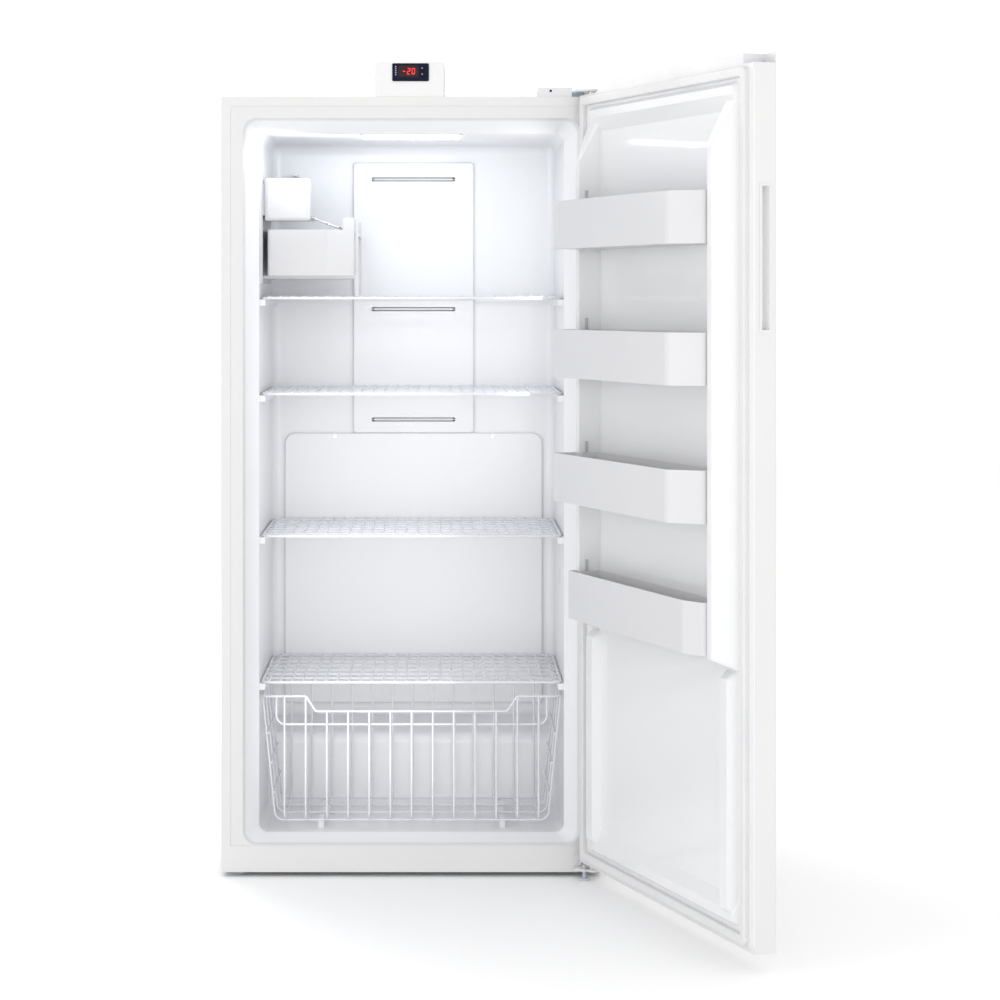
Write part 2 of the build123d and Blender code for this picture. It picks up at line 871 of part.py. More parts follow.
mount_spots = [
    (compressor_x + x, machine_y + y) for x in (-76, 76) for y in (-56, 56)
]
with BuildPart() as compressor:
    foot_plate = pan_top + mount_height
    rod(
        Plane.XY.offset(foot_plate),
        [(compressor_x, machine_y)],
        compressor_radius,
        compressor_height,
    )
    fillet(compressor.edges().group_by(Axis.Z)[-1], 32)
    fillet(compressor.edges().group_by(Axis.Z)[0], 14)
    slab(
        compressor_x - 92,
        compressor_x + 92,
        machine_y - 72,
        machine_y + 72,
        foot_plate,
        foot_plate + 3,
    )
    slab(
        compressor_x - 25,
        compressor_x + 25,
        machine_y - compressor_radius - 14,
        machine_y - compressor_radius + 8,
        80,
        130,
    )
    stub_face = compressor_x - compressor_radius - 10
    stub_spots = [(machine_y - 20, 120), (machine_y + 20, 120)]
    rod(side_view(stub_face), stub_spots, coil_tube, 16)
    rod(Plane.XY.offset(foot_plate), mount_spots, 4, 4, Mode.SUBTRACT)
save(compressor, "compressor")

with BuildPart() as compressor_mounts:
    rod(Plane.XY.offset(pan_top), mount_spots, 11, mount_height)
    rod(Plane.XY.offset(pan_top + mount_height), mount_spots, 3.8, 8)
save(compressor_mounts, "compressor_mounts")

machine_fan_y = front_y + 500.0
machine_fan_z = 105.0
with BuildPart() as condenser_fan_motor:
    rod(side_view(-70), [(machine_fan_y, machine_fan_z)], 28, 40)
    slab(
        -60,
        -40,
        machine_fan_y - 18,
        machine_fan_y + 18,
        pan_top,
        machine_fan_z - 15,
    )
    rod(
        side_view(-71),
        [(machine_fan_y, machine_fan_z)],
        3 + running_gap,
        15,
        Mode.SUBTRACT,
    )
save(condenser_fan_motor, "condenser_fan_motor")

condenser_fan_blade = fan_blade(
    (-100, machine_fan_y, machine_fan_z), (-1, 0, 0), (0, 1, 0), 14, 24, 70, 26, 5, 28
)
save(condenser_fan_blade, "condenser_fan_blade")


with BuildPart() as refrigerant_lines:
    discharge = [
        (stub_face, 120),
        (45, 120),
        (45, 191),
        (-135, 191),
        (-135, condenser_top),
        (condenser_ends[1], condenser_top),
    ]
    bent_bar(front_view(machine_y - 20), discharge, coil_tube, 9)
    drier_plane = front_view(condenser_layers[0])
    liquid = [(condenser_ends[1], condenser_top), (25, condenser_top), (25, deck_under)]
    bent_bar(drier_plane, liquid, coil_tube, 14)
    rod(
        side_view(-62),
        [(condenser_layers[0], condenser_top)],
        10,
        70,
    )
    suction = [(stub_face, 120), (70, 120), (70, deck_under)]
    bent_bar(front_view(machine_y + 20), suction, coil_tube, 14)
save(refrigerant_lines, "refrigerant_lines")

with BuildPart() as water_valve:
    slab(fill_x - 18, fill_x + 18, back_y - 45, back_y - 10, pan_top, 75)
    rod(front_view(back_y - 10), [(fill_x, valve_z)], valve_thread, -22)
    rod(Plane.XY.offset(75), [(fill_x, back_y - 30)], fill_radius, 10)
save(water_valve, "water_valve")

ice_box_back = front_y + ice_front + ice_box_depth
mould_back = ice_box_back + mould_length
with BuildPart() as fill_tube:
    tube_outside = back_y + 9
    fill_run = [
        (back_y - 30, 85),
        (back_y - 30, tube_exit_z),
        (tube_outside, tube_exit_z),
        (tube_outside, fill_height),
        (mould_back + cup_length / 2, fill_height),
    ]
    bent_bar(side_view(fill_x), fill_run, fill_radius, 7.5)
save(fill_tube, "fill_tube")

with BuildPart() as cord_gland:
    rod(front_view(back_y), [(gland_x, gland_z)], gland_radius + 4, -3)
    fillet(cord_gland.edges().group_by(Axis.Y)[-1], 1.5)
    rod(front_view(back_y), [(gland_x, gland_z)], gland_radius, 12)
    rod(front_view(back_y + 5), [(gland_x, gland_z)], 3.5, 20, Mode.SUBTRACT)
save(cord_gland, "cord_gland")

# ---------------------------------------------------------------- hinges

plate_bottom = cabinet_top + shim_height
plate_top = plate_bottom + hinge_plate
bracket_front = front_y + 10
bracket_back = front_y + 70

with BuildPart() as top_hinge_bracket:
    with BuildSketch(Plane.XY.offset(plate_bottom)):
        span(bracket_left, bracket_right, bracket_front, bracket_back)
        span(hinge_x - 36, bracket_right, hinge_y, bracket_front + 1)
        with Locations((hinge_x, hinge_y)):
            Circle(hinge_arm_half)
        with Locations(*top_bolts):
            Circle(bolt_shaft + screw_gap, mode=Mode.SUBTRACT)
    extrude(amount=hinge_plate)
    pin_end = door_top - notch_depth - 14
    rod(Plane.XY.offset(plate_bottom), [(hinge_x, hinge_y)], pin_radius, pin_end - plate_bottom)
save(top_hinge_bracket, "top_hinge_bracket")

with BuildPart() as hinge_shim:
    slab(bracket_left, 376, bracket_front, bracket_back, cabinet_top, plate_bottom)
    shim_bore = bolt_shaft + screw_gap
    rod(Plane.XY.offset(cabinet_top), top_bolts, shim_bore, shim_height, Mode.SUBTRACT)
save(hinge_shim, "hinge_shim")

with BuildPart() as hinge_cover:
    slab(275, 349, front_y + 4, front_y + 76, cabinet_top, cabinet_top + 20)
    rounded = hinge_cover.edges().filter_by(Axis.Z).group_by(Axis.X)[0]
    fillet(rounded, 4)
    fillet(hinge_cover.edges().group_by(Axis.Z)[-1].group_by(Axis.X)[0], 3)
    slab(
        277,
        350,
        front_y + 6,
        front_y + 74,
        cabinet_top - 1,
        cabinet_top + 18,
        Mode.SUBTRACT,
    )
    rod(front_view(front_y + 3), [(303, cabinet_top + 13)], 3, -5, Mode.SUBTRACT)
save(hinge_cover, "hinge_cover")

bush_radius = pin_radius + running_gap + bush_wall
arm_bottom = 20.0
arm_top = 25.0
collar_top = door_bottom - bush_flange_height - 0.1
with BuildPart() as bottom_hinge_bracket:
    slab(352, 404, front_y - 3, front_y, 14, low_plate_top)
    with BuildSketch(Plane.XY.offset(arm_bottom)):
        span(352, 404, hinge_y, front_y - 1)
        with Locations((hinge_x, hinge_y)):
            Circle(hinge_arm_half + 2)
        with Locations((foot_x, hinge_y + 2)):
            Circle(foot_stem + 5)
            Circle(foot_stem + running_gap, mode=Mode.SUBTRACT)
    extrude(amount=arm_top - arm_bottom)
    rod(Plane.XY.offset(arm_top), [(hinge_x, hinge_y)], 8, collar_top - arm_top)
    rod(Plane.XY.offset(arm_top), [(hinge_x, hinge_y)], pin_radius, 31)
    rod(front_view(front_y + 1), low_bolts, bolt_shaft + screw_gap, 6, Mode.SUBTRACT)
save(bottom_hinge_bracket, "bottom_hinge_bracket")

with BuildPart() as hinge_bolts:
    with BuildSketch(Plane.XY.offset(plate_top)):
        with Locations(*top_bolts):
            RegularPolygon(bolt_head, 6)
    extrude(amount=bolt_head_height)
    rod(Plane.XY.offset(plate_top), top_bolts, bolt_shaft, -hinge_plate - shim_height - 5)
    with BuildSketch(front_view(front_y - 3)):
        with Locations(*low_bolts):
            RegularPolygon(bolt_head, 6)
    extrude(amount=bolt_head_height)
    rod(front_view(front_y - 3), low_bolts, bolt_shaft, -bolt_length)
save(hinge_bolts, "hinge_bolts")

with BuildPart() as hinge_bushes:
    pin_bore = pin_radius + running_gap
    rod(Plane.XY.offset(notch_floor), [(hinge_x, hinge_y)], bush_flange, bush_flange_height)
    rod(Plane.XY.offset(notch_floor), [(hinge_x, hinge_y)], bush_radius, -16)
    rod(Plane.XY.offset(door_bottom), [(hinge_x, hinge_y)], bush_flange, -bush_flange_height)
    rod(Plane.XY.offset(door_bottom), [(hinge_x, hinge_y)], bush_radius, 21)
    rod(Plane.XY, [(hinge_x, hinge_y)], pin_bore, door_top, Mode.SUBTRACT)
save(hinge_bushes, "hinge_bushes")

# ---------------------------------------------------------------- ice maker

ice_y = front_y + ice_front
mould_x = -mould_left + mould_width / 2
pocket_pitch = (mould_length - 10) / ice_pockets
pocket_places = [ice_box_back + 5 + pocket_pitch * (n + 0.5) for n in range(ice_pockets)]
cup_wall = 8.0
finger_reach = 28.0
lug_y = mould_back - 18

with BuildPart() as ice_maker_housing:
    slab(
        -ice_left,
        -ice_left + ice_width,
        ice_y,
        ice_box_back,
        ice_bottom,
        ice_bottom + ice_height,
    )
    fillet(ice_maker_housing.edges().filter_by(Axis.Y), 5)
    fillet(ice_maker_housing.edges().group_by(Axis.Y)[0], 2.5)
    rod(
        front_view(ice_box_back + 1),
        [(mould_x, ejector_height)],
        ejector_radius + running_gap,
        15,
        Mode.SUBTRACT,
    )
    rod(
        front_view(ice_box_back + 1),
        [(-arm_pivot, arm_height)],
        arm_wire + running_gap,
        15,
        Mode.SUBTRACT,
    )
save(ice_maker_housing, "ice_maker_housing")

with BuildPart() as ice_mould:
    mould_right = -mould_left + mould_width
    slab(
        -mould_left,
        mould_right,
        ice_box_back,
        mould_back,
        mould_bottom,
        mould_bottom + mould_height,
    )
    for place in pocket_places:
        rod(
            front_view(place + pocket_pitch / 2 - 2),
            [(mould_x, ejector_height - 6)],
            36,
            pocket_pitch - 4,
            Mode.SUBTRACT,
        )
    slab(
        -mould_left + 6,
        mould_right - 6,
        mould_back,
        mould_back + cup_length,
        mould_bottom,
        cup_top,
    )
    slab(
        -mould_left + 9,
        mould_right - 9,
        mould_back + cup_wall,
        mould_back + cup_length - 3,
        mould_bottom + mould_height,
        cup_top + 1,
        Mode.SUBTRACT,
    )
    slab(mould_right - 1, -arm_pivot + 6, lug_y, lug_y + 6, arm_height, arm_height + 6)
    slab(-arm_pivot - 6, -arm_pivot + 6, lug_y, lug_y + 6, arm_height - 6, arm_height + 6)
    rod(
        front_view(lug_y + 7),
        [(-arm_pivot, arm_height)],
        arm_wire + running_gap,
        8,
        Mode.SUBTRACT,
    )
    rod(
        front_view(mould_back + cup_wall - 1),
        [(mould_x, ejector_height)],
        ejector_radius + running_gap,
        cup_wall,
        Mode.SUBTRACT,
    )
save(ice_mould, "ice_mould")

with BuildPart() as ice_ejector:
    ejector_end = mould_back + cup_wall - 2
    rod(
        front_view(ejector_end),
        [(mould_x, ejector_height)],
        ejector_radius,
        ejector_end - ice_box_back + 12,
    )
    for place in pocket_places:
        slab(
            mould_x - 2.5,
            mould_x + 2.5,
            place - 2,
            place + 2,
            ejector_height,
            ejector_height + finger_reach,
        )
save(ice_ejector, "ice_ejector")

with BuildPart() as shutoff_arm:
    drop = radians(arm_drop)
    arm_plane = Plane(
        origin=(-arm_pivot, 0, arm_height),
        x_dir=(0, 1, 0),
        z_dir=(-sin(drop), 0, -cos(drop)),
    )
    arm_run = [
        (ice_box_back - 12, 0),
        (ice_box_back + 12, 0),
        (ice_box_back + 12, arm_reach),
        (lug_y - 8, arm_reach),
        (lug_y - 8, 0),
        (lug_y + 10, 0),
    ]
    bent_bar(arm_plane, arm_run, arm_wire, 5)
save(shutoff_arm, "shutoff_arm")

rack_wall = 4.0
rack_post = 6.0
rack_right = -ice_bin_right + 2 + rack_post
with BuildPart() as ice_bin_rack:
    slab(-interior_half, -interior_half + rack_wall, ice_y + 3, ice_y + 275, 1290, 1530)
    pad_x = -interior_half + rack_wall - 1
    slab(pad_x, -ice_left, ice_y + 8, ice_box_back - 8, 1440, 1510)
    slab(pad_x, -mould_left, ice_box_back + 30, ice_box_back + 160, 1445, 1470)
    for rail_y in (ice_y + 23, ice_y + 243):
        rail_bottom = ice_bin_bottom - seat_gap - rack_post
        rail_top_z = ice_bin_bottom - seat_gap
        slab(-interior_half, rack_right, rail_y, rail_y + 10, rail_bottom, rail_top_z)
        slab(
            rack_right - rack_post,
            rack_right,
            rail_y,
            rail_y + 10,
            1262.4,
            ice_bin_bottom + ice_bin_height + 24,
        )
    slab(rack_right - rack_post, rack_right, ice_y + 23, ice_y + 253, 1395, 1401)
save(ice_bin_rack, "ice_bin_rack")


def tray(plane, outline, rounds, wall, floor, height):
    """Open box on the outline given, with a radius for each upright corner."""
    with BuildPart() as box:
        for level, inset, mode in ((0, 0, Mode.ADD), (floor, wall, Mode.SUBTRACT)):
            with BuildSketch(plane.offset(level)) as base:
                with BuildLine():
                    Polyline(*outline, close=True)
                make_face()
                for spot, radius in zip(outline, rounds):
                    fillet(base.vertices().sort_by_distance((*spot, 0))[0], radius)
                if inset:
                    offset(amount=-inset)
            extrude(amount=height, mode=mode)
    return box


ice_bin_outline = [
    (-ice_bin_left, ice_y),
    (-ice_bin_right - 60, ice_y),
    (-ice_bin_right, ice_y + 15),
    (-ice_bin_right, ice_y + ice_bin_length),
    (-ice_bin_left, ice_y + ice_bin_length),
]
ice_bin_top = ice_bin_bottom + ice_bin_height
ice_bin_rounds = [7.0] * len(ice_bin_outline)
ice_bin = tray(
    Plane.XY.offset(ice_bin_bottom),
    ice_bin_outline,
    ice_bin_rounds,
    2.5,
    2.5,
    ice_bin_height + ice_bin_lip,
)
with ice_bin:
    slab(
        -ice_bin_left - 1,
        -ice_bin_lip_start,
        ice_y - 1,
        ice_y + ice_bin_length + 1,
        ice_bin_top,
        ice_bin_top + ice_bin_lip + 5,
        Mode.SUBTRACT,
    )
save(ice_bin, "ice_bin")

# ---------------------------------------------------------------- controller

case_y = front_y + 2
case_left = controller_x - controller_width / 2
bezel_x = controller_x + 1.4
bezel_z = cabinet_top + 53.5
display_x = bezel_x - 4.4
key_x = bezel_x + 25.1
key_rows = [bezel_z + 2 - 6.5, bezel_z + 2 + 6.5]
bezel_face = case_y - bezel_rise
display_depth = 1.5
key_pocket = 5.0
key_length = 3.9

with BuildPart() as controller_housing:
    slab(
        case_left,
        case_left + controller_width,
        case_y,
        case_y + controller_depth,
        cabinet_top,
        cabinet_top + controller_height,
    )
    fillet(controller_housing.edges().filter_by(Axis.Y).group_by(Axis.Z)[-1], controller_round)
    fillet(controller_housing.edges().group_by(Axis.Y)[0].group_by(Axis.Z)[-1], 3)
    slab(
        case_left + controller_wall,
        case_left + controller_width - controller_wall,
        case_y + controller_wall,
        case_y + controller_depth - controller_wall,
        cabinet_top - 1,
        cabinet_top + controller_height - controller_wall - 1,
        Mode.SUBTRACT,
    )
    with BuildSketch(front_view(case_y + controller_wall + 1)):
        with Locations((bezel_x, bezel_z)):
            Rectangle(bezel_body_width, bezel_body_height)
    extrude(amount=controller_wall + 3, mode=Mode.SUBTRACT)
save(controller_housing, "controller_housing")

with BuildPart() as controller_bezel:
    with BuildSketch(front_view(case_y)):
        with Locations((bezel_x, bezel_z)):
            RectangleRounded(bezel_width, bezel_height, 3)
    extrude(amount=bezel_rise)
    fillet(controller_bezel.edges().group_by(Axis.Y)[0], 1.5)
    with BuildSketch(front_view(case_y + bezel_body_depth)):
        with Locations((bezel_x, bezel_z)):
            Rectangle(bezel_body_width, bezel_body_height)
    extrude(amount=bezel_body_depth)
    with BuildSketch(front_view(bezel_face + display_depth)):
        with Locations((display_x, bezel_z + 2)):
            Rectangle(display_width, display_height)
    extrude(amount=display_depth + 1, mode=Mode.SUBTRACT)
    with BuildSketch(front_view(bezel_face + key_pocket)):
        for row in key_rows:
            with Locations((key_x, row)):
                RectangleRounded(key_width + 2 * key_gap, key_height + 2 * key_gap, 1.5)
    extrude(amount=key_pocket + 1, mode=Mode.SUBTRACT)
save(controller_bezel, "controller_bezel")

with BuildPart() as controller_display:
    with BuildSketch(front_view(bezel_face + display_depth)):
        with Locations((display_x, bezel_z + 2)):
            Rectangle(display_width, display_height)
    extrude(amount=display_depth)
save(controller_display, "controller_display")

for name, row in zip(("down_button", "up_button"), key_rows):
    with BuildPart() as button:
        with BuildSketch(front_view(bezel_face - key_rise + key_length + 1.4)):
            with Locations((key_x, row)):
                RectangleRounded(key_width, key_height, 1.3)
        extrude(amount=key_length + 1.4)
        fillet(button.edges().group_by(Axis.Y)[0], 0.6)
    save(button, name)

# ---------------------------------------------------------------- door

door_width = cabinet_width
cap_low = door_top - top_cap_height
cap_high = door_bottom + bottom_cap_height
notch_t = door_thickness - notch_back
skin_back = door_liner_wall
pocket_outer = handle_depth + handle_wall
pocket_low_t = handle_front - handle_wall
pocket_high_t = handle_front + handle_width + handle_wall
pocket_low_z = handle_bottom - handle_wall
pocket_high_z = handle_bottom + handle_length + handle_wall
flange = 2.5


def door_notches():
    """Corners cut out of the door's top, for the hinge and to match it at the other side."""
    door_slab(-2, hinge_notch, -1, notch_t, notch_floor, door_top + 1, Mode.SUBTRACT)
    free_start = door_width - free_notch
    door_slab(free_start, door_width + 2, -1, notch_t, notch_floor, door_top + 1, Mode.SUBTRACT)


def door_block(inset, t_low, t_high, z_low, z_high, mode=Mode.ADD):
    """Length of the door's section, rounded at its two outer corners."""
    with BuildSketch(door_plan(z_low)) as section:
        span(inset, door_width - inset, t_low, t_high)
        fillet(section.vertices().group_by(Axis.Y)[-1], door_skin_bend - inset)
    extrude(section.sketch, amount=z_high - z_low, mode=mode)


with BuildPart() as door_skin:
    door_block(0, skin_back, door_thickness, door_bottom, door_top)
    door_block(
        door_skin_sheet,
        skin_back - 1,
        door_thickness - door_skin_sheet,
        door_bottom - 1,
        door_top + 1,
        Mode.SUBTRACT,
    )
    door_notches()
    door_slab(
        door_width - 2,
        door_width + 1,
        pocket_low_t,
        pocket_high_t,
        pocket_low_z,
        pocket_high_z,
        Mode.SUBTRACT,
    )
save(door_skin, "door_skin")


def raised_rib(foot_w, foot_z, crest_w, crest_z, rise, grow, mode):
    """Tapered rib between its foot and its crest, each given as two limits along and up."""
    ends = []
    for outer, across, up, corner in (
        (0, foot_w, foot_z, 2 * rib_round),
        (-rise - grow, crest_w, crest_z, rib_round),
    ):
        with BuildSketch(door_face(outer)) as end:
            with Locations((sum(across) / 2, sum(up) / 2)):
                width = across[1] - across[0] + 2 * grow
                RectangleRounded(width, up[1] - up[0] + 2 * grow, corner + grow)
        ends.append(end.sketch)
    loft(ends, ruled=True, mode=mode)


def door_ribs(grow, mode=Mode.ADD):
    """Ribs on the door's inner face; the same ones shrunk make their hollow."""
    uprights = [
        (
            (rib_outer, rib_outer + rib_foot),
            (rib_bottom, rib_top),
            (rib_crest_start, rib_crest_start + rib_crest),
            (rib_bottom + rib_low_slope, rib_top - rib_top_slope),
            rib_height,
        ),
        (
            (low_rib_outer, low_rib_outer + low_rib_foot),
            (low_rib_bottom, rib_bottom - 2),
            (low_rib_crest_start, low_rib_crest_start + low_rib_crest),
            (low_rib_bottom + low_rib_slope, rib_bottom - 2 - low_rib_slope),
            low_rib_height,
        ),
    ]
    for foot_w, foot_z, crest_w, crest_z, rise in uprights:
        raised_rib(foot_w, foot_z, crest_w, crest_z, rise, grow, mode)
        far_foot = [door_width - limit for limit in foot_w[::-1]]
        far_crest = [door_width - limit for limit in crest_w[::-1]]
        raised_rib(far_foot, foot_z, far_crest, crest_z, rise, grow, mode)
    bar_foot = (bar_outer, door_width - bar_outer)
    bar_crest = (bar_outer + bar_height, door_width - bar_outer - bar_height)
    for foot_z, crest_z in ((top_bar, top_bar_crest), (bottom_bar, bottom_bar_crest)):
        raised_rib(bar_foot, foot_z, bar_crest, crest_z, bar_height, grow, mode)


hollow = -2.4
peg_start = rib_outer + rib_foot - 5.6

with BuildPart() as door_liner:
    door_slab(0.3, door_width - 0.3, 0, door_liner_wall, cap_high, cap_low)
    door_ribs(0)
    door_ribs(hollow, Mode.SUBTRACT)
    for side in range(2):
        for bottom in bin_bottoms:
            peg_end = rib_outer + rib_foot + peg_reach
            reach = (peg_start, peg_end)
            if side:
                reach = (door_width - peg_end, door_width - peg_start)
            door_slab(*reach, -21 - peg_width, -21, bottom + peg_lift - peg_height, bottom + peg_lift)
save(door_liner, "door_liner")

with BuildPart() as door_foam:
    door_block(
        door_skin_sheet,
        door_liner_wall,
        door_thickness - door_skin_sheet,
        cap_high,
        cap_low,
    )
    door_slab(
        door_width - pocket_outer,
        door_width,
        pocket_low_t,
        pocket_high_t,
        pocket_low_z,
        pocket_high_z,
        Mode.SUBTRACT,
    )
    rod(Plane.XY, [(hinge_x, hinge_y)], bush_radius, cap_high + 10, Mode.SUBTRACT)
    rod(Plane.XY.offset(door_top), [(hinge_x, hinge_y)], bush_radius, -40, Mode.SUBTRACT)
save(door_foam, "door_foam")

with BuildPart() as door_end_caps:
    door_block(door_skin_sheet, 0, door_thickness - door_skin_sheet, cap_low, door_top)
    door_notches()
    door_block(door_skin_sheet, 0, door_thickness - door_skin_sheet, door_bottom, cap_high)
    rod(Plane.XY, [(hinge_x, hinge_y)], bush_radius, door_top, Mode.SUBTRACT)
save(door_end_caps, "door_end_caps")

with BuildPart() as door_gasket:
    ring_middle = (door_width / 2, (gasket_bottom + gasket_top) / 2)
    ring_width = door_width - 2 * gasket_inset
    ring_height = gasket_top - gasket_bottom
    with BuildSketch(door_face(0)):
        with Locations(ring_middle):
            RectangleRounded(ring_width, ring_height, 12)
            RectangleRounded(
                ring_width - 2 * gasket_width,
                ring_height - 2 * gasket_width,
                4,
                mode=Mode.SUBTRACT,
            )
    extrude(amount=gasket_height)
    raised = door_corner - outward * gasket_height
    crest_edges = door_gasket.edges().filter_by(
        lambda edge: abs((edge.center() - raised).dot(outward)) < 0.01
    )
    fillet(crest_edges, 3)
save(door_gasket, "door_gasket")

with BuildPart() as handle_pocket:
    door_slab(
        door_width - pocket_outer,
        door_width,
        pocket_low_t,
        pocket_high_t,
        pocket_low_z,
        pocket_high_z,
    )
    door_slab(
        door_width,
        door_width + 1.2,
        pocket_low_t - flange,
        pocket_high_t + flange,
        pocket_low_z - flange,
        pocket_high_z + flange,
    )
    door_slab(
        door_width - handle_depth,
        door_width + 2,
        handle_front,
        handle_front + handle_width,
        handle_bottom,
        handle_bottom + handle_length,
        Mode.SUBTRACT,
    )
save(handle_pocket, "handle_pocket")

bin_start = rib_outer + rib_foot + bin_side_gap
bin_end = door_width - bin_start
for number, (bottom, reach) in enumerate(zip(bin_bottoms, bin_reaches), 1):
    shoulder = rib_height + 2
    bin_outline = [
        (bin_start, -shoulder),
        (bin_start - 22, -shoulder),
        (bin_start - 22, -reach),
        (bin_end - bin_bevel, -reach),
        (bin_end, -shoulder),
        (bin_end, -3),
        (bin_start, -3),
    ]
    bin_rounds = [bin_round] * len(bin_outline)
    bin_rounds[3] = bin_front_round
    bin_rounds[4] = bin_side_round
    door_bin = tray(door_plan(bottom), bin_outline, bin_rounds, bin_wall, 3, bin_height)
    with door_bin:
        for low_w, high_w in (
            (bin_start - 1, bin_start + 5.6),
            (bin_end - 5.6, bin_end + 1),
        ):
            door_slab(
                low_w,
                high_w,
                -21 - peg_width - 0.3,
                -20.7,
                bottom - 1,
                bottom + peg_lift + seat_gap,
                Mode.SUBTRACT,
            )
    save(door_bin, f"door_bin_{number}")

# ---------------------------------------------------------------- shelves and basket

front_rail = front_y + shelf_front + rail_radius
rear_rail = front_y + shelf_back - rail_radius
side_rail = shelf_half - rail_radius
rung_pitch = (rear_rail - front_rail) / (rung_count + 1)
wire_height = rung_radius + wire_radius - weld_sink
long_wires = int(2 * side_rail / wire_pitch)

with BuildPart() as grid:
    corners = [
        (side_rail, front_rail),
        (side_rail, rear_rail),
        (-side_rail, rear_rail),
        (-side_rail, front_rail),
    ]
    bent_bar(Plane.XY, corners, rail_radius, 18, True)
    rungs = [(front_rail + rung_pitch * (n + 1), 0) for n in range(rung_count)]
    rod(side_view(-side_rail), rungs, rung_radius, 2 * side_rail)
    wires = [(wire_pitch * (n - (long_wires - 1) / 2), wire_height) for n in range(long_wires)]
    rod(front_view(rear_rail), wires, wire_radius, rear_rail - front_rail)

for number, height in enumerate(shelf_heights, 1):
    with BuildPart() as shelf:
        add(grid.part.moved(Location((0, 0, height))))
    save(shelf, f"shelf_{number}")

near = front_y + basket_front
far = front_y + basket_back
inner_near = near + wire_step
first_loop = near + basket_loop_inset
last_loop = far - basket_loop_inset
rim_end = basket_dip_half + basket_slope + 12
side_fall = (basket_top_half - basket_bottom_half) / (basket_rim - lowest_wire)

with BuildPart() as wire_basket:
    rim = [
        (-rim_end, near),
        (-basket_top_half, near),
        (-basket_top_half, far),
        (basket_top_half, far),
        (basket_top_half, near),
        (rim_end, near),
    ]
    bent_bar(Plane.XY.offset(basket_rim), rim, basket_wire, basket_rim_bend)
    dip = [
        (-rim_end, basket_rim),
        (-basket_dip_half - basket_slope, basket_rim),
        (-basket_dip_half, basket_dip),
        (basket_dip_half, basket_dip),
        (basket_dip_half + basket_slope, basket_rim),
        (rim_end, basket_rim),
    ]
    bent_bar(front_view(near), dip, basket_wire, 8)
    band = [
        (-basket_band_half, basket_rim),
        (-basket_band_half, basket_band),
        (basket_band_half, basket_band),
        (basket_band_half, basket_rim),
    ]
    bent_bar(front_view(inner_near), band, basket_wire, 20)
    loop = [
        (-basket_top_half, basket_rim),
        (-basket_bottom_half, lowest_wire),
        (basket_bottom_half, lowest_wire),
        (basket_top_half, basket_rim),
    ]
    for n in range(basket_loops):
        loop_y = first_loop + (last_loop - first_loop) * n / (basket_loops - 1)
        bent_bar(front_view(loop_y), loop, basket_leg, basket_loop_bend)
    places = [basket_pitch * (n - (basket_wire_count - 1) / 2) for n in range(basket_wire_count)]
    for place in places + [-basket_side_legs, basket_side_legs]:
        top = basket_dip if abs(place) < basket_dip_half else basket_rim
        legs = [(near, top), (near, basket_bottom), (far, basket_bottom), (far, basket_rim)]
        bent_bar(side_view(place), legs, basket_leg, basket_leg_bend)
    for height in basket_side_wires:
        side_x = basket_bottom_half + side_fall * (height - lowest_wire) - wire_step
        for side in (-1, 1):
            side_length = last_loop - first_loop + 2 * side_wire_overlap
            side_end = front_view(last_loop + side_wire_overlap)
            rod(side_end, [(side * side_x, height)], basket_leg, side_length)
    floor_top = basket_bottom + basket_leg + weld_above_floor
    wide = cabinet_width / 2
    weld_front = near - weld_reach
    weld_back = far + weld_reach
    weld_top = basket_rim + weld_reach
    slab(-wide, wide, weld_front, weld_back, floor_top, floor_top + weld_gap, Mode.SUBTRACT)
    for weld_y in (near + basket_weld_inset, far - basket_weld_inset):
        slab(-wide, wide, weld_y, weld_y + weld_gap, floor_top, weld_top, Mode.SUBTRACT)
save(wire_basket, "wire_basket")
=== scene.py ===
import bpy
import bmesh
from math import cos, pi, radians, sin
from mathutils import Matrix, Vector


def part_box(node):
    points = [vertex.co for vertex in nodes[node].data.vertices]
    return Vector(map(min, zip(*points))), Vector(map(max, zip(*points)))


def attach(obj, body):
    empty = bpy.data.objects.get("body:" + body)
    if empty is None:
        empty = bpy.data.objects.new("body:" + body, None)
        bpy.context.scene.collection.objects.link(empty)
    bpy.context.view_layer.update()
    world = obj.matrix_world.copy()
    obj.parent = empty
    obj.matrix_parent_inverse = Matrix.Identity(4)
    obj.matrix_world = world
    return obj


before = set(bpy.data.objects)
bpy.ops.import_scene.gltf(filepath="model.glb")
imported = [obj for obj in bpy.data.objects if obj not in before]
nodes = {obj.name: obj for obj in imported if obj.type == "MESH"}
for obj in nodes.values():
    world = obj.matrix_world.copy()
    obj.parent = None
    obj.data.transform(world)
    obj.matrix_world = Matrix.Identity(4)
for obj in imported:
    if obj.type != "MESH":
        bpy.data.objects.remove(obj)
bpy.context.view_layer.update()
print("frame loaded, nodes:", len(nodes))

scene = bpy.context.scene
scene.view_settings.view_transform = "Standard"

cameraSetup = {
    "place": (0.058, -5.767, 1.2527),
    "lens": 90.0,
    "sensor": 36.0,
    "shift": (0.062, -0.200),
    "reach": 60.0,
}
camera = bpy.data.cameras.new("camera")
camera.lens = cameraSetup["lens"]
camera.sensor_width = cameraSetup["sensor"]
camera.shift_x, camera.shift_y = cameraSetup["shift"]
camera.clip_end = cameraSetup["reach"]
cameraObject = bpy.data.objects.new("camera", camera)
cameraObject.location = cameraSetup["place"]
cameraObject.rotation_euler = (pi / 2, 0, 0)
scene.collection.objects.link(cameraObject)
scene.camera = cameraObject

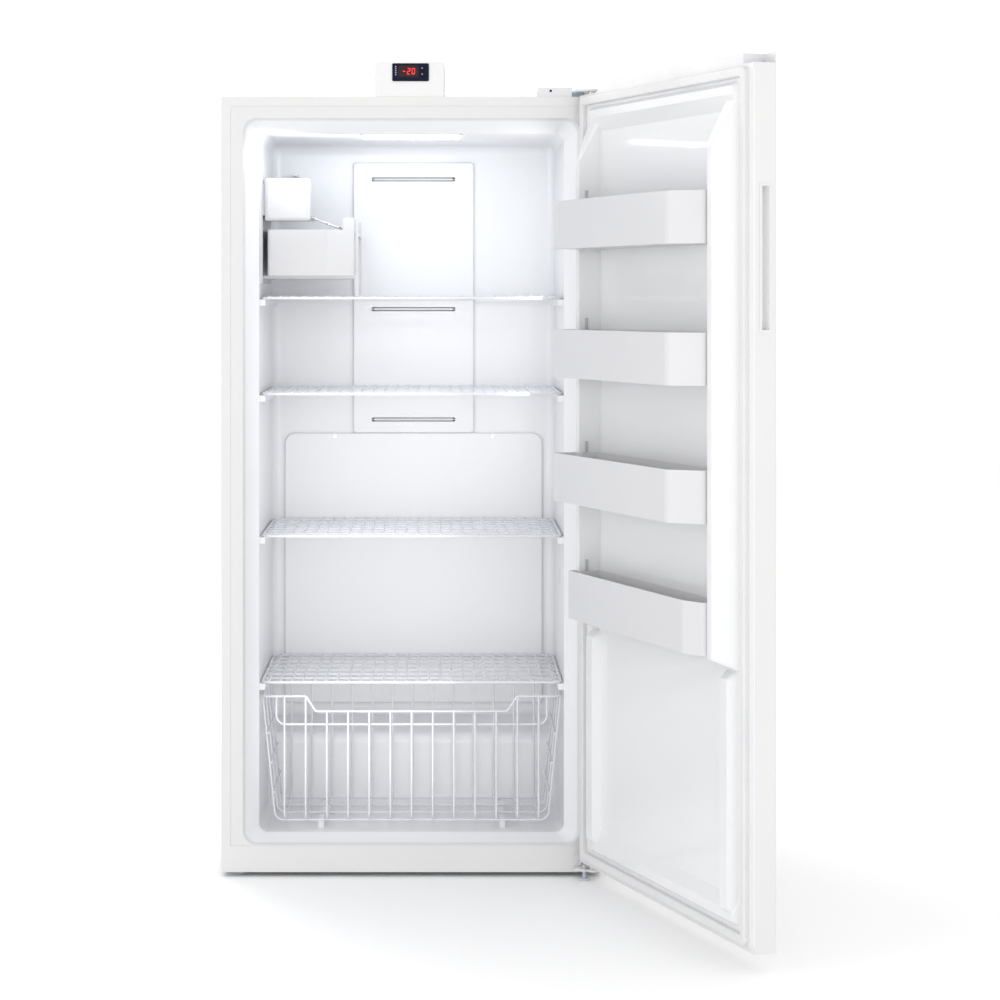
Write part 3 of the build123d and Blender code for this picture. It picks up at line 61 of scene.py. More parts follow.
# the last three stand inside the cabinet, clear of the closed door's outer face
areaLights = {
    "front": {"place": (0.9, -5.4, 1.2), "aim": (0.0, -0.2, 0.75), "size": (3.4, 2.2), "power": 38.0},
    "left": {"place": (-3.4, -3.4, 1.3), "aim": (0.45, -0.6, 0.85), "size": (2.4, 2.4), "power": 26.0},
    "side": {"place": (3.6, -2.6, 2.6), "aim": (0.3, -0.4, 0.9), "size": (2.4, 3.0), "power": 10.0},
    "rear": {"place": (-2.6, 3.6, 3.0), "aim": (0.0, 0.3, 0.9), "size": (1.8, 1.8), "power": 55.0},
    "inside": {"place": (-0.10, -0.325, 0.72), "aim": (-0.12, 0.3, 0.72), "size": (0.38, 1.06),
               "power": 0.68},
    "corner": {"place": (0.27, -0.295, 1.22), "aim": (-0.33, 0.12, 1.30), "size": (0.08, 0.70),
               "power": 0.44},
    "cabinet": {"place": (-0.10, -0.27, 1.575), "aim": (-0.25, 0.25, 1.42), "size": (0.38, 0.05),
                "power": 0.66, "tint": (0.90, 0.94, 1.0)},
}


def areaLight(name):
    setup = areaLights[name]
    lamp = bpy.data.lights.new(name + "Light", "AREA")
    lamp.shape = "RECTANGLE"
    lamp.size, lamp.size_y = setup["size"]
    lamp.energy = setup["power"]
    lamp.color = setup.get("tint", (1.0, 1.0, 1.0))
    lampObject = bpy.data.objects.new(name + "Light", lamp)
    lampObject.location = setup["place"]
    direction = Vector(setup["aim"]) - Vector(setup["place"])
    lampObject.rotation_euler = direction.to_track_quat("-Z", "Y").to_euler()
    scene.collection.objects.link(lampObject)


for lightName in areaLights:
    areaLight(lightName)

roomLight = {"colour": (1.0, 1.0, 1.0), "strength": 1.035}
world = bpy.data.worlds.new("room")
world.use_nodes = True
roomNode = world.node_tree.nodes["Background"]
roomNode.inputs["Color"].default_value = (*roomLight["colour"], 1.0)
roomNode.inputs["Strength"].default_value = roomLight["strength"]
scene.world = world


# shared effects

def makeGroup(name, inputs, outputs):
    group = bpy.data.node_groups.new(name, "ShaderNodeTree")
    for title, kind, value in inputs:
        socket = group.interface.new_socket(title, in_out="INPUT", socket_type=kind)
        socket.default_value = value
    for title, kind in outputs:
        group.interface.new_socket(title, in_out="OUTPUT", socket_type=kind)
    return group, group.nodes.new("NodeGroupInput"), group.nodes.new("NodeGroupOutput")


def useGroup(tree, group, **values):
    node = tree.nodes.new("ShaderNodeGroup")
    node.node_tree = group
    for title, value in values.items():
        node.inputs[title.replace("_", " ")].default_value = value
    return node


def mixColours(tree, amount, first, second):
    # second is a socket or a plain colour
    mix = tree.nodes.new("ShaderNodeMix")
    mix.data_type = "RGBA"
    tree.links.new(amount, mix.inputs[0])
    tree.links.new(first, mix.inputs[6])
    if isinstance(second, tuple):
        mix.inputs[7].default_value = (*second, 1)
    else:
        tree.links.new(second, mix.inputs[7])
    return mix.outputs[2]


# slow cloudy change from one tone to another, with the roughness following it
cloudShape = {"detail": 4.0, "roughness": 0.55, "low": 0.2, "high": 0.8}
toneGroup, toneIn, toneOut = makeGroup(
    "cloudyTone",
    [("Light", "NodeSocketColor", (1, 1, 1, 1)), ("Dark", "NodeSocketColor", (1, 1, 1, 1)),
     ("Scale", "NodeSocketFloat", 5.0), ("Smooth", "NodeSocketFloat", 0.3),
     ("Matte", "NodeSocketFloat", 0.4)],
    [("Color", "NodeSocketColor"), ("Roughness", "NodeSocketFloat")],
)
place = toneGroup.nodes.new("ShaderNodeTexCoord")
cloud = toneGroup.nodes.new("ShaderNodeTexNoise")
cloud.inputs["Detail"].default_value = cloudShape["detail"]
cloud.inputs["Roughness"].default_value = cloudShape["roughness"]
toneGroup.links.new(place.outputs["Object"], cloud.inputs["Vector"])
toneGroup.links.new(toneIn.outputs["Scale"], cloud.inputs["Scale"])
spread = toneGroup.nodes.new("ShaderNodeMapRange")
spread.interpolation_type = "SMOOTHERSTEP"
spread.inputs["From Min"].default_value = cloudShape["low"]
spread.inputs["From Max"].default_value = cloudShape["high"]
toneGroup.links.new(cloud.outputs["Fac"], spread.inputs["Value"])
colour = mixColours(toneGroup, spread.outputs["Result"], toneIn.outputs["Light"], toneIn.outputs["Dark"])
toneGroup.links.new(colour, toneOut.inputs["Color"])
gloss = toneGroup.nodes.new("ShaderNodeMapRange")
toneGroup.links.new(spread.outputs["Result"], gloss.inputs["Value"])
toneGroup.links.new(toneIn.outputs["Smooth"], gloss.inputs["To Min"])
toneGroup.links.new(toneIn.outputs["Matte"], gloss.inputs["To Max"])
toneGroup.links.new(gloss.outputs["Result"], toneOut.inputs["Roughness"])

# fine surface height: even grain with a slower swell under it
grainDetail = {"Grain": 2.0, "Swell": 1.0}
grainGroup, grainIn, grainOut = makeGroup(
    "surfaceGrain",
    [("Grain Scale", "NodeSocketFloat", 400.0), ("Grain", "NodeSocketFloat", 0.2),
     ("Swell Scale", "NodeSocketFloat", 8.0), ("Swell", "NodeSocketFloat", 0.2)],
    [("Height", "NodeSocketFloat")],
)
place = grainGroup.nodes.new("ShaderNodeTexCoord")
fine = grainGroup.nodes.new("ShaderNodeTexNoise")
slow = grainGroup.nodes.new("ShaderNodeTexNoise")
for noise, title in ((fine, "Grain"), (slow, "Swell")):
    noise.inputs["Detail"].default_value = grainDetail[title]
    grainGroup.links.new(place.outputs["Object"], noise.inputs["Vector"])
    grainGroup.links.new(grainIn.outputs[title + " Scale"], noise.inputs["Scale"])
fineHeight = grainGroup.nodes.new("ShaderNodeMath")
fineHeight.operation = "MULTIPLY"
grainGroup.links.new(fine.outputs["Fac"], fineHeight.inputs[0])
grainGroup.links.new(grainIn.outputs["Grain"], fineHeight.inputs[1])
slowHeight = grainGroup.nodes.new("ShaderNodeMath")
slowHeight.operation = "MULTIPLY_ADD"
grainGroup.links.new(slow.outputs["Fac"], slowHeight.inputs[0])
grainGroup.links.new(grainIn.outputs["Swell"], slowHeight.inputs[1])
grainGroup.links.new(fineHeight.outputs["Value"], slowHeight.inputs[2])
grainGroup.links.new(slowHeight.outputs["Value"], grainOut.inputs["Height"])

# parallel lines along one axis, for the coils' fins
lineGroup, lineIn, lineOut = makeGroup(
    "parallelLines",
    [("Scale", "NodeSocketFloat", 100.0), ("Wander", "NodeSocketFloat", 0.0)],
    [("Mask", "NodeSocketFloat")],
)
place = lineGroup.nodes.new("ShaderNodeTexCoord")
lines = lineGroup.nodes.new("ShaderNodeTexWave")
lines.bands_direction = "Z"
lineGroup.links.new(place.outputs["Object"], lines.inputs["Vector"])
lineGroup.links.new(lineIn.outputs["Scale"], lines.inputs["Scale"])
lineGroup.links.new(lineIn.outputs["Wander"], lines.inputs["Distortion"])
lineGroup.links.new(lines.outputs["Fac"], lineOut.inputs["Mask"])

# crystal patches of a zinc coating, and the cells of foam
spangleGroup, spangleIn, spangleOut = makeGroup(
    "zincSpangle", [("Scale", "NodeSocketFloat", 60.0)], [("Mask", "NodeSocketFloat")]
)
place = spangleGroup.nodes.new("ShaderNodeTexCoord")
cells = spangleGroup.nodes.new("ShaderNodeTexVoronoi")
spangleGroup.links.new(place.outputs["Object"], cells.inputs["Vector"])
spangleGroup.links.new(spangleIn.outputs["Scale"], cells.inputs["Scale"])
grey = spangleGroup.nodes.new("ShaderNodeRGBToBW")
spangleGroup.links.new(cells.outputs["Color"], grey.inputs["Color"])
spangleGroup.links.new(grey.outputs["Val"], spangleOut.inputs["Mask"])

# 1 in front of a plane across the given direction, 0 behind it
faceGroup, faceIn, faceOut = makeGroup(
    "frontMask",
    [("Across", "NodeSocketVector", (0.0, 1.0, 0.0)), ("Front", "NodeSocketFloat", 0.0),
     ("Back", "NodeSocketFloat", 0.01)],
    [("Mask", "NodeSocketFloat")],
)
place = faceGroup.nodes.new("ShaderNodeTexCoord")
reach = faceGroup.nodes.new("ShaderNodeVectorMath")
reach.operation = "DOT_PRODUCT"
faceGroup.links.new(place.outputs["Object"], reach.inputs[0])
faceGroup.links.new(faceIn.outputs["Across"], reach.inputs[1])
depth = faceGroup.nodes.new("ShaderNodeMapRange")
depth.interpolation_type = "SMOOTHSTEP"
depth.inputs["To Min"].default_value = 1.0
depth.inputs["To Max"].default_value = 0.0
faceGroup.links.new(reach.outputs["Value"], depth.inputs["Value"])
faceGroup.links.new(faceIn.outputs["Front"], depth.inputs["From Min"])
faceGroup.links.new(faceIn.outputs["Back"], depth.inputs["From Max"])
faceGroup.links.new(depth.outputs["Result"], faceOut.inputs["Mask"])
print("shared effects ready")


# materials; grain holds the scale and the amount of the grain, then of the swell

def newMaterial(name):
    material = bpy.data.materials.new(name)
    material.use_nodes = True
    return material, material.node_tree, material.node_tree.nodes["Principled BSDF"]


def paintTone(tree, shader, light, dark, scale, smooth, matte):
    tone = useGroup(tree, toneGroup, Light=(*light, 1), Dark=(*dark, 1), Scale=scale,
                    Smooth=smooth, Matte=matte)
    tree.links.new(tone.outputs["Color"], shader.inputs["Base Color"])
    tree.links.new(tone.outputs["Roughness"], shader.inputs["Roughness"])


def addBump(tree, shader, height, distance):
    bump = tree.nodes.new("ShaderNodeBump")
    bump.inputs["Distance"].default_value = distance
    tree.links.new(height, bump.inputs["Height"])
    tree.links.new(bump.outputs["Normal"], shader.inputs["Normal"])


finishes = {
    "whiteEnamel": {"light": (0.675, 0.675, 0.67), "dark": (0.662, 0.662, 0.657), "tone": 3.0,
                    "smooth": 0.32, "matte": 0.38, "grain": (420.0, 0.25, 30.0, 0.2), "bump": 0.0001,
                    "coat": 0.2},
    # liner, duct panel and evaporator cover: painted lighter than the liner's own front flange, to make up
    # for the shade inside the cabinet
    "linerPaintedLighter": {"light": (0.80, 0.806, 0.822), "dark": (0.788, 0.795, 0.812), "tone": 1.6,
                     "smooth": 0.30, "matte": 0.34, "grain": (260.0, 0.2, 5.0, 0.5), "bump": 0.00025,
                     "coat": 0.1},
    "doorPlastic": {"light": (0.765, 0.767, 0.775), "dark": (0.752, 0.755, 0.764), "tone": 1.6,
                    "smooth": 0.28, "matte": 0.33, "grain": (260.0, 0.1, 5.0, 0.4), "bump": 0.0002,
                    "coat": 0.6, "coatRoughness": 0.06},
    "binPlastic": {"light": (0.635, 0.635, 0.65), "dark": (0.62, 0.62, 0.636), "tone": 4.0,
                   "smooth": 0.28, "matte": 0.38, "grain": (500.0, 0.2, 14.0, 0.6), "bump": 0.0003,
                   "coat": 0.1},
    "partPlastic": {"light": (0.70, 0.70, 0.708), "dark": (0.68, 0.68, 0.69), "tone": 9.0,
                    "smooth": 0.34, "matte": 0.45, "grain": (900.0, 0.5, 20.0, 0.4), "bump": 0.0002,
                    "coat": 0.0},
    # ice maker, its bin, rack and gearbox cover: painted darker than the other white plastic parts, to
    # offset the stronger light near the cabinet's mouth
    "icePlasticPaintedDarker": {"light": (0.60, 0.598, 0.61), "dark": (0.585, 0.583, 0.596), "tone": 9.0,
                   "smooth": 0.30, "matte": 0.40, "grain": (900.0, 0.4, 20.0, 0.4), "bump": 0.0002,
                   "coat": 0.05},
    "casePlastic": {"light": (0.745, 0.745, 0.75), "dark": (0.73, 0.73, 0.735), "tone": 8.0,
                    "smooth": 0.36, "matte": 0.44, "grain": (1100.0, 0.6, 20.0, 0.2), "bump": 0.0002,
                    "coat": 0.0},
    # handle pocket: painted near white to make up for the shade inside its recess; its edge is toned back
    # to the enamel's brightness below
    "pocketPaintedBright": {"light": (0.94, 0.94, 0.94), "dark": (0.925, 0.925, 0.925), "tone": 10.0,
                      "smooth": 0.30, "matte": 0.38, "grain": (700.0, 0.4, 20.0, 0.3), "bump": 0.0002,
                      "coat": 0.1},
    "vanePlastic": {"light": (0.66, 0.67, 0.69), "dark": (0.63, 0.64, 0.66), "tone": 12.0,
                    "smooth": 0.34, "matte": 0.42, "grain": (900.0, 0.5, 20.0, 0.3), "bump": 0.0002,
                    "coat": 0.0},
    "greyPlastic": {"light": (0.50, 0.52, 0.55), "dark": (0.44, 0.46, 0.49), "tone": 12.0,
                    "smooth": 0.42, "matte": 0.55, "grain": (1100.0, 0.8, 25.0, 0.3), "bump": 0.0002,
                    "coat": 0.0},
    "darkPlastic": {"light": (0.012, 0.014, 0.030), "dark": (0.008, 0.010, 0.022), "tone": 20.0,
                    "smooth": 0.34, "matte": 0.42, "grain": (1400.0, 0.7, 40.0, 0.3), "bump": 0.0001,
                    "coat": 0.0, "shine": 0.05},
    "shimPlastic": {"light": (0.40, 0.47, 0.55), "dark": (0.34, 0.41, 0.49), "tone": 15.0,
                    "smooth": 0.45, "matte": 0.6, "grain": (900.0, 0.6, 30.0, 0.3), "bump": 0.0002,
                    "coat": 0.0},
    "wireCoat": {"light": (0.70, 0.71, 0.75), "dark": (0.66, 0.67, 0.715), "tone": 14.0,
                 "smooth": 0.25, "matte": 0.35, "grain": (350.0, 0.5, 60.0, 0.5), "bump": 0.0002,
                 "coat": 0.3},
    "softVinyl": {"light": (0.70, 0.70, 0.70), "dark": (0.67, 0.67, 0.675), "tone": 8.0,
                  "smooth": 0.48, "matte": 0.62, "grain": (700.0, 0.5, 20.0, 0.5), "bump": 0.0003,
                  "coat": 0.0},
    "blackEnamel": {"light": (0.030, 0.030, 0.032), "dark": (0.018, 0.018, 0.020), "tone": 18.0,
                    "smooth": 0.28, "matte": 0.42, "grain": (500.0, 0.6, 40.0, 0.5), "bump": 0.0003,
                    "coat": 0.3},
    "blackRubber": {"light": (0.045, 0.045, 0.047), "dark": (0.028, 0.028, 0.030), "tone": 25.0,
                    "smooth": 0.62, "matte": 0.78, "grain": (900.0, 0.8, 50.0, 0.4), "bump": 0.0003,
                    "coat": 0.0},
}

usualFinish = {"coatRoughness": 0.15, "shine": 0.5}  # where a finish above says nothing else


def plainFinish(name):
    look = {**usualFinish, **finishes[name]}
    material, tree, shader = newMaterial(name)
    paintTone(tree, shader, look["light"], look["dark"], look["tone"], look["smooth"], look["matte"])
    grainScale, grainAmount, swellScale, swellAmount = look["grain"]
    grain = useGroup(tree, grainGroup, Grain_Scale=grainScale, Grain=grainAmount,
                     Swell_Scale=swellScale, Swell=swellAmount)
    addBump(tree, shader, grain.outputs["Height"], look["bump"])
    shader.inputs["Coat Weight"].default_value = look["coat"]
    shader.inputs["Coat Roughness"].default_value = look["coatRoughness"]
    shader.inputs["Specular IOR Level"].default_value = look["shine"]
    return material


metals = {
    "zincSheet": {"light": (0.60, 0.61, 0.63), "dark": (0.46, 0.47, 0.49), "smooth": 0.28, "matte": 0.48,
                  "pattern": "spangle", "scale": 55.0},
    "finAluminium": {"light": (0.78, 0.79, 0.80), "dark": (0.62, 0.63, 0.65), "smooth": 0.22,
                     "matte": 0.42, "pattern": "lines", "scale": 300.0, "wander": 0.4},
    "castAluminium": {"light": (0.62, 0.63, 0.64), "dark": (0.50, 0.51, 0.52), "smooth": 0.42,
                      "matte": 0.62, "pattern": "cloud", "scale": 90.0},
    "platedSteel": {"light": (0.66, 0.66, 0.67), "dark": (0.54, 0.54, 0.56), "smooth": 0.20,
                    "matte": 0.34, "pattern": "cloud", "scale": 120.0},
    "drawnCopper": {"light": (0.78, 0.42, 0.27), "dark": (0.58, 0.28, 0.17), "smooth": 0.24,
                    "matte": 0.45, "pattern": "cloud", "scale": 40.0},
}


def metalFinish(name):
    look = metals[name]
    material, tree, shader = newMaterial(name)
    shader.inputs["Metallic"].default_value = 1.0
    if look["pattern"] == "cloud":
        paintTone(tree, shader, look["light"], look["dark"], look["scale"], look["smooth"], look["matte"])
        return material
    if look["pattern"] == "spangle":
        mask = useGroup(tree, spangleGroup, Scale=look["scale"]).outputs["Mask"]
    else:
        mask = useGroup(tree, lineGroup, Scale=look["scale"], Wander=look["wander"]).outputs["Mask"]
    ramp = tree.nodes.new("ShaderNodeValToRGB")
    ramp.color_ramp.elements[0].color = (*look["dark"], 1)
    ramp.color_ramp.elements[1].color = (*look["light"], 1)
    tree.links.new(mask, ramp.inputs["Fac"])
    tree.links.new(ramp.outputs["Color"], shader.inputs["Base Color"])
    roughness = tree.nodes.new("ShaderNodeMapRange")
    roughness.inputs["To Min"].default_value = look["smooth"]
    roughness.inputs["To Max"].default_value = look["matte"]
    tree.links.new(mask, roughness.inputs["Value"])
    tree.links.new(roughness.outputs["Result"], shader.inputs["Roughness"])
    return material


glowTone = {"darker": 0.9, "scale": 60.0, "rougher": 0.1, "shine": 0.2}
glows = {
    "lampGlow": {"surface": (0.9, 0.93, 1.0), "glow": (0.88, 0.94, 1.0), "strength": 8.0, "rough": 0.3},
    "displayWindow": {"surface": (0.02, 0.004, 0.006), "glow": (0, 0, 0), "strength": 0.0, "rough": 0.12},
    "redDigits": {"surface": (0.5, 0.02, 0.02), "glow": (1.0, 0.03, 0.04), "strength": 1.6, "rough": 0.3},
    "paleMarks": {"surface": (0.42, 0.44, 0.50), "glow": (0, 0, 0), "strength": 0.0, "rough": 0.4},
}


def glowFinish(name):
    look = glows[name]
    material, tree, shader = newMaterial(name)
    darker = [part * glowTone["darker"] for part in look["surface"]]
    paintTone(tree, shader, look["surface"], darker, glowTone["scale"], look["rough"],
              look["rough"] + glowTone["rougher"])
    shader.inputs["Emission Color"].default_value = (*look["glow"], 1)
    shader.inputs["Emission Strength"].default_value = look["strength"]
    shader.inputs["Specular IOR Level"].default_value = glowTone["shine"]
    return material


foamLook = {"light": (0.86, 0.74, 0.45), "dark": (0.72, 0.58, 0.32), "tone": 30.0, "smooth": 0.8,
            "matte": 0.95, "cells": 600.0, "bump": 0.0006}


def foamFinish():
    material, tree, shader = newMaterial("yellowFoam")
    paintTone(tree, shader, foamLook["light"], foamLook["dark"], foamLook["tone"], foamLook["smooth"],
              foamLook["matte"])
    cellMask = useGroup(tree, spangleGroup, Scale=foamLook["cells"]).outputs["Mask"]
    addBump(tree, shader, cellMask, foamLook["bump"])
    return material


# rims toned back to the enamel's brightness where they stand in full light: the liner's flange and the
# handle pocket's edge; the rest of each material is painted lighter to make up for shade
litRims = {
    "linerPaintedLighter": {"colour": (0.66, 0.66, 0.662), "across": (0.0, 1.0, 0.0), "front": -0.334,
                     "back": -0.326},
    "pocketPaintedBright": {"colour": (0.675, 0.675, 0.67), "across": (-0.3387, 0.9409, 0.0), "front": -1.2868,
                      "back": -1.2850},
}


def toneLitRim(name):
    rim = litRims[name]
    tree = materials[name].node_tree
    baseColour = tree.nodes["Principled BSDF"].inputs["Base Color"]
    plain = baseColour.links[0].from_socket
    mask = useGroup(tree, faceGroup, Across=rim["across"], Front=rim["front"], Back=rim["back"])
    tree.links.new(mixColours(tree, mask.outputs["Mask"], plain, rim["colour"]), baseColour)


materials = {name: plainFinish(name) for name in finishes}
materials.update({name: metalFinish(name) for name in metals})
materials.update({name: glowFinish(name) for name in glows})
materials["yellowFoam"] = foamFinish()
for litRimName in litRims:
    toneLitRim(litRimName)

nodeFinishes = {
    "whiteEnamel": ["outer_shell", "door_skin", "top_hinge_bracket", "bottom_hinge_bracket"],
    "zincSheet": ["back_panel", "base_pan", "machine_cover"],
    "yellowFoam": ["insulation_foam", "door_foam"],
    "linerPaintedLighter": ["inner_liner", "air_duct_panel", "evaporator_cover"],
    "doorPlastic": ["door_liner"],
    "lampGlow": ["lamp_lens"],
    "platedSteel": ["panel_screws", "defrost_heater", "hinge_bolts", "shutoff_arm"],
    "finAluminium": ["evaporator_coil", "condenser_coil"],
    "castAluminium": ["ice_mould"],
    "drawnCopper": ["refrigerant_lines"],
    "blackEnamel": ["compressor"],
    "blackRubber": ["compressor_mounts", "cord_gland"],
    "greyPlastic": ["evaporator_fan_motor", "condenser_fan_motor", "drip_pan", "left_foot",
                    "right_foot", "left_roller", "right_roller", "ice_ejector"],
    "darkPlastic": ["evaporator_fan_blade", "condenser_fan_blade", "controller_bezel",
                    "up_button", "down_button"],
    "displayWindow": ["controller_display"],
    "shimPlastic": ["hinge_shim"],
    "wireCoat": ["shelf_1", "shelf_2", "shelf_3", "shelf_4", "wire_basket"],
    "softVinyl": ["door_gasket"],
    "binPlastic": ["door_bin_1", "door_bin_2", "door_bin_3", "door_bin_4"],
    "partPlastic": ["water_valve", "fill_tube", "hinge_cover", "hinge_bushes", "door_end_caps"],
    "icePlasticPaintedDarker": ["ice_maker_housing", "ice_bin_rack", "ice_bin"],
    "casePlastic": ["controller_housing"],
    "pocketPaintedBright": ["handle_pocket"],
}
finished = set()
for finish, names in nodeFinishes.items():
    for name in names:
        slots = nodes[name].data.materials
        slots.clear()
        slots.append(materials[finish])
        finished.add(name)
assert finished == set(nodes), sorted(set(nodes) - finished)
print("materials set on the CAD nodes")


# tools for new pieces

def keepPiece(name, mesh, body, finish):
    bmesh.ops.recalc_face_normals(mesh, faces=mesh.faces)
    data = bpy.data.meshes.new(name)
    mesh.to_mesh(data)
    mesh.free()
    data.materials.append(materials[finish])
    piece = bpy.data.objects.new(name, data)
    scene.collection.objects.link(piece)
    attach(piece, body)


def block(mesh, low, high, edge, steps=2):
    # from the low corner to the high one, with rounded edges
    low, high = Vector(low), Vector(high)
    made = bmesh.ops.create_cube(
        mesh, size=1.0,
        matrix=Matrix.Translation((low + high) / 2) @ Matrix.Diagonal((*(high - low), 1.0)),
    )
    edges = {e for v in made["verts"] for e in v.link_edges}
    bmesh.ops.bevel(mesh, geom=list(edges), offset=edge, segments=steps, profile=0.5,
                    affect="EDGES", material=-1)


def disc(mesh, middle, radius, height, turn, edge, sides=32):
    # a flat cap whose outer rim is rounded; turn takes +Z to the side it faces
    made = bmesh.ops.create_cone(mesh, cap_ends=True, segments=sides, radius1=radius, radius2=radius,
                                 depth=height, matrix=Matrix.Translation((0, 0, height / 2)))
    rim = {e for v in made["verts"] for e in v.link_edges
           if all(end.co.z > height / 2 for end in e.verts)}
    rounded = bmesh.ops.bevel(mesh, geom=list(rim), offset=edge, segments=2, profile=0.5,
                              affect="EDGES", material=-1)
    verts = {v for v in made["verts"] if v.is_valid} | set(rounded["verts"])
    bmesh.ops.transform(mesh, matrix=Matrix.Translation(middle) @ turn, verts=list(verts))


def frameRing(mesh, size, width, depth, corner, turn):
    # a flat rectangular ring with rounded corners, raised along +Z before turn moves it
    made = bmesh.ops.create_grid(mesh, x_segments=1, y_segments=1, size=0.5)
    bmesh.ops.scale(mesh, vec=(size[0], size[1], 1.0), verts=made["verts"])
    rounded = bmesh.ops.bevel(mesh, geom=list(made["verts"]), offset=corner, segments=5, profile=0.5,
                              affect="VERTICES", material=-1)
    inner = max({f for v in rounded["verts"] for f in v.link_faces}, key=lambda f: f.calc_area())
    ring = bmesh.ops.inset_region(mesh, faces=[inner], thickness=width, use_boundary=True,
                                  use_even_offset=True)["faces"]
    bmesh.ops.delete(mesh, geom=[inner], context="FACES")
    raised = bmesh.ops.extrude_face_region(mesh, geom=ring, use_keep_orig=True)["geom"]
    lifted = [g for g in raised if isinstance(g, bmesh.types.BMVert)]
    bmesh.ops.translate(mesh, vec=(0, 0, depth), verts=lifted)
    verts = {v for f in ring if f.is_valid for v in f.verts} | set(lifted)
    bmesh.ops.transform(mesh, matrix=turn, verts=list(verts))


faceBack = Matrix.Rotation(-pi / 2, 4, "X")  # +Z turned to +Y
faceRight = Matrix.Rotation(pi / 2, 4, "Y")
faceLeft = Matrix.Rotation(-pi / 2, 4, "Y")
faceDown = Matrix.Rotation(pi, 4, "X")

# pale floor

floorSetup = {"half": 14.0, "light": (0.97, 0.97, 0.97), "dark": (0.96, 0.96, 0.96), "tone": 0.8,
              "smooth": 0.6, "matte": 0.7}
floorMesh = bmesh.new()
bmesh.ops.create_grid(floorMesh, x_segments=2, y_segments=2, size=floorSetup["half"])
floorData = bpy.data.meshes.new("floor")
floorMesh.to_mesh(floorData)
floorMesh.free()
floorMaterial, floorTree, floorShader = newMaterial("paleFloor")
paintTone(floorTree, floorShader, floorSetup["light"], floorSetup["dark"], floorSetup["tone"],
          floorSetup["smooth"], floorSetup["matte"])
floorData.materials.append(floorMaterial)
floor = bpy.data.objects.new("floor", floorData)
scene.collection.objects.link(floor)

# controller: digits of seven segments, lean is how far their tops lean to the right

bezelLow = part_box("controller_bezel")[0]
windowLow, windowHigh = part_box("controller_display")
digitSetup = {"height": 0.0135, "width": 0.0068, "stroke": 0.0015, "gap": 0.0034, "shown": "-20",
              "lean": 0.0006, "thick": 0.0002, "edge": 0.0002}
segments = {"-": "g", "2": "abged", "0": "abcdef"}


def segmentBar(mesh, letter, left, bottom, face):
    width, height, stroke = digitSetup["width"], digitSetup["height"], digitSetup["stroke"]
    half = height / 2
    cut = stroke / 4
    flat = {"a": height - stroke / 2, "g": half, "d": stroke / 2}
    tall = {"f": (0, half), "b": (width - stroke, half), "e": (0, 0), "c": (width - stroke, 0)}
    if letter in flat:
        level = bottom + flat[letter]
        start = left + digitSetup["lean"] * flat[letter] / height
        low = (start + stroke / 2, face - digitSetup["thick"], level - stroke / 2)
        high = (start + width - stroke / 2, face, level + stroke / 2)
    else:
        across, up = tall[letter]
        start = left + across + digitSetup["lean"] * (up + half / 2) / height
        low = (start, face - digitSetup["thick"], bottom + up + cut)
        high = (start + stroke, face, bottom + up + half - cut)
    block(mesh, low, high, digitSetup["edge"], 1)


digitMesh = bmesh.new()
digitWidth = len(digitSetup["shown"]) * (digitSetup["width"] + digitSetup["gap"]) - digitSetup["gap"]
digitLeft = (windowLow.x + windowHigh.x) / 2 - digitWidth / 2
digitBottom = (windowLow.z + windowHigh.z) / 2 - digitSetup["height"] / 2
for mark in digitSetup["shown"]:
    for letter in segments[mark]:
        segmentBar(digitMesh, letter, digitLeft, digitBottom, windowLow.y)
    digitLeft += digitSetup["width"] + digitSetup["gap"]
keepPiece("displayDigits", digitMesh, "cabinet", "redDigits")

# plain bars beside the window
barSetup = {"rows": 5, "first": 0.004, "pitch": 0.0044, "tall": 0.0022, "left": 0.0062, "right": 0.0092,
            "thick": 0.00015, "edge": 0.0001}
markMesh = bmesh.new()
for row in range(barSetup["rows"]):
    level = windowLow.z + barSetup["first"] + row * barSetup["pitch"]
    block(markMesh, (bezelLow.x + barSetup["left"], bezelLow.y - barSetup["thick"], level),
          (bezelLow.x + barSetup["right"], bezelLow.y, level + barSetup["tall"]), barSetup["edge"], 1)
keepPiece("controllerMarks", markMesh, "cabinet", "paleMarks")

arrowSetup = {"radius": 0.0021, "thick": 0.0002}
for keyName, bodyName, upward in (("up_button", "up_key", 1), ("down_button", "down_key", -1)):
    keyLow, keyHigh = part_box(keyName)
    middle = Vector(((keyLow.x + keyHigh.x) / 2, keyLow.y, (keyLow.z + keyHigh.z) / 2))
    arrow = bmesh.new()
    bmesh.ops.create_cone(arrow, cap_ends=True, segments=3, radius1=arrowSetup["radius"],
                          radius2=arrowSetup["radius"], depth=arrowSetup["thick"])
    turn = Matrix.Rotation(pi / 2, 4, "X") @ Matrix.Rotation(pi / 2 * upward, 4, "Z")
    bmesh.ops.transform(arrow, matrix=Matrix.Translation(middle) @ turn, verts=arrow.verts)
    keepPiece(keyName + "Arrow", arrow, bodyName, "paleMarks")
print("controller face done")

# slots in the liners shown as thin grey plates, the grey being painted shade for the dark inside each
# slot: one in the cabinet's right wall, one above each door bin

wallSlotShade = {"place": (0.3342, -0.111, 0.628), "size": (0.0006, 0.010, 0.038), "edge": 0.0003}
slotMesh = bmesh.new()
slotX, slotY, slotZ = wallSlotShade["place"]
slotDeep, slotWide, slotTall = wallSlotShade["size"]
block(slotMesh, (slotX - slotDeep, slotY - slotWide / 2, slotZ - slotTall / 2),
      (slotX, slotY + slotWide / 2, slotZ + slotTall / 2), wallSlotShade["edge"], 1)
keepPiece("wallSlotShade", slotMesh, "cabinet", "greyPlastic")

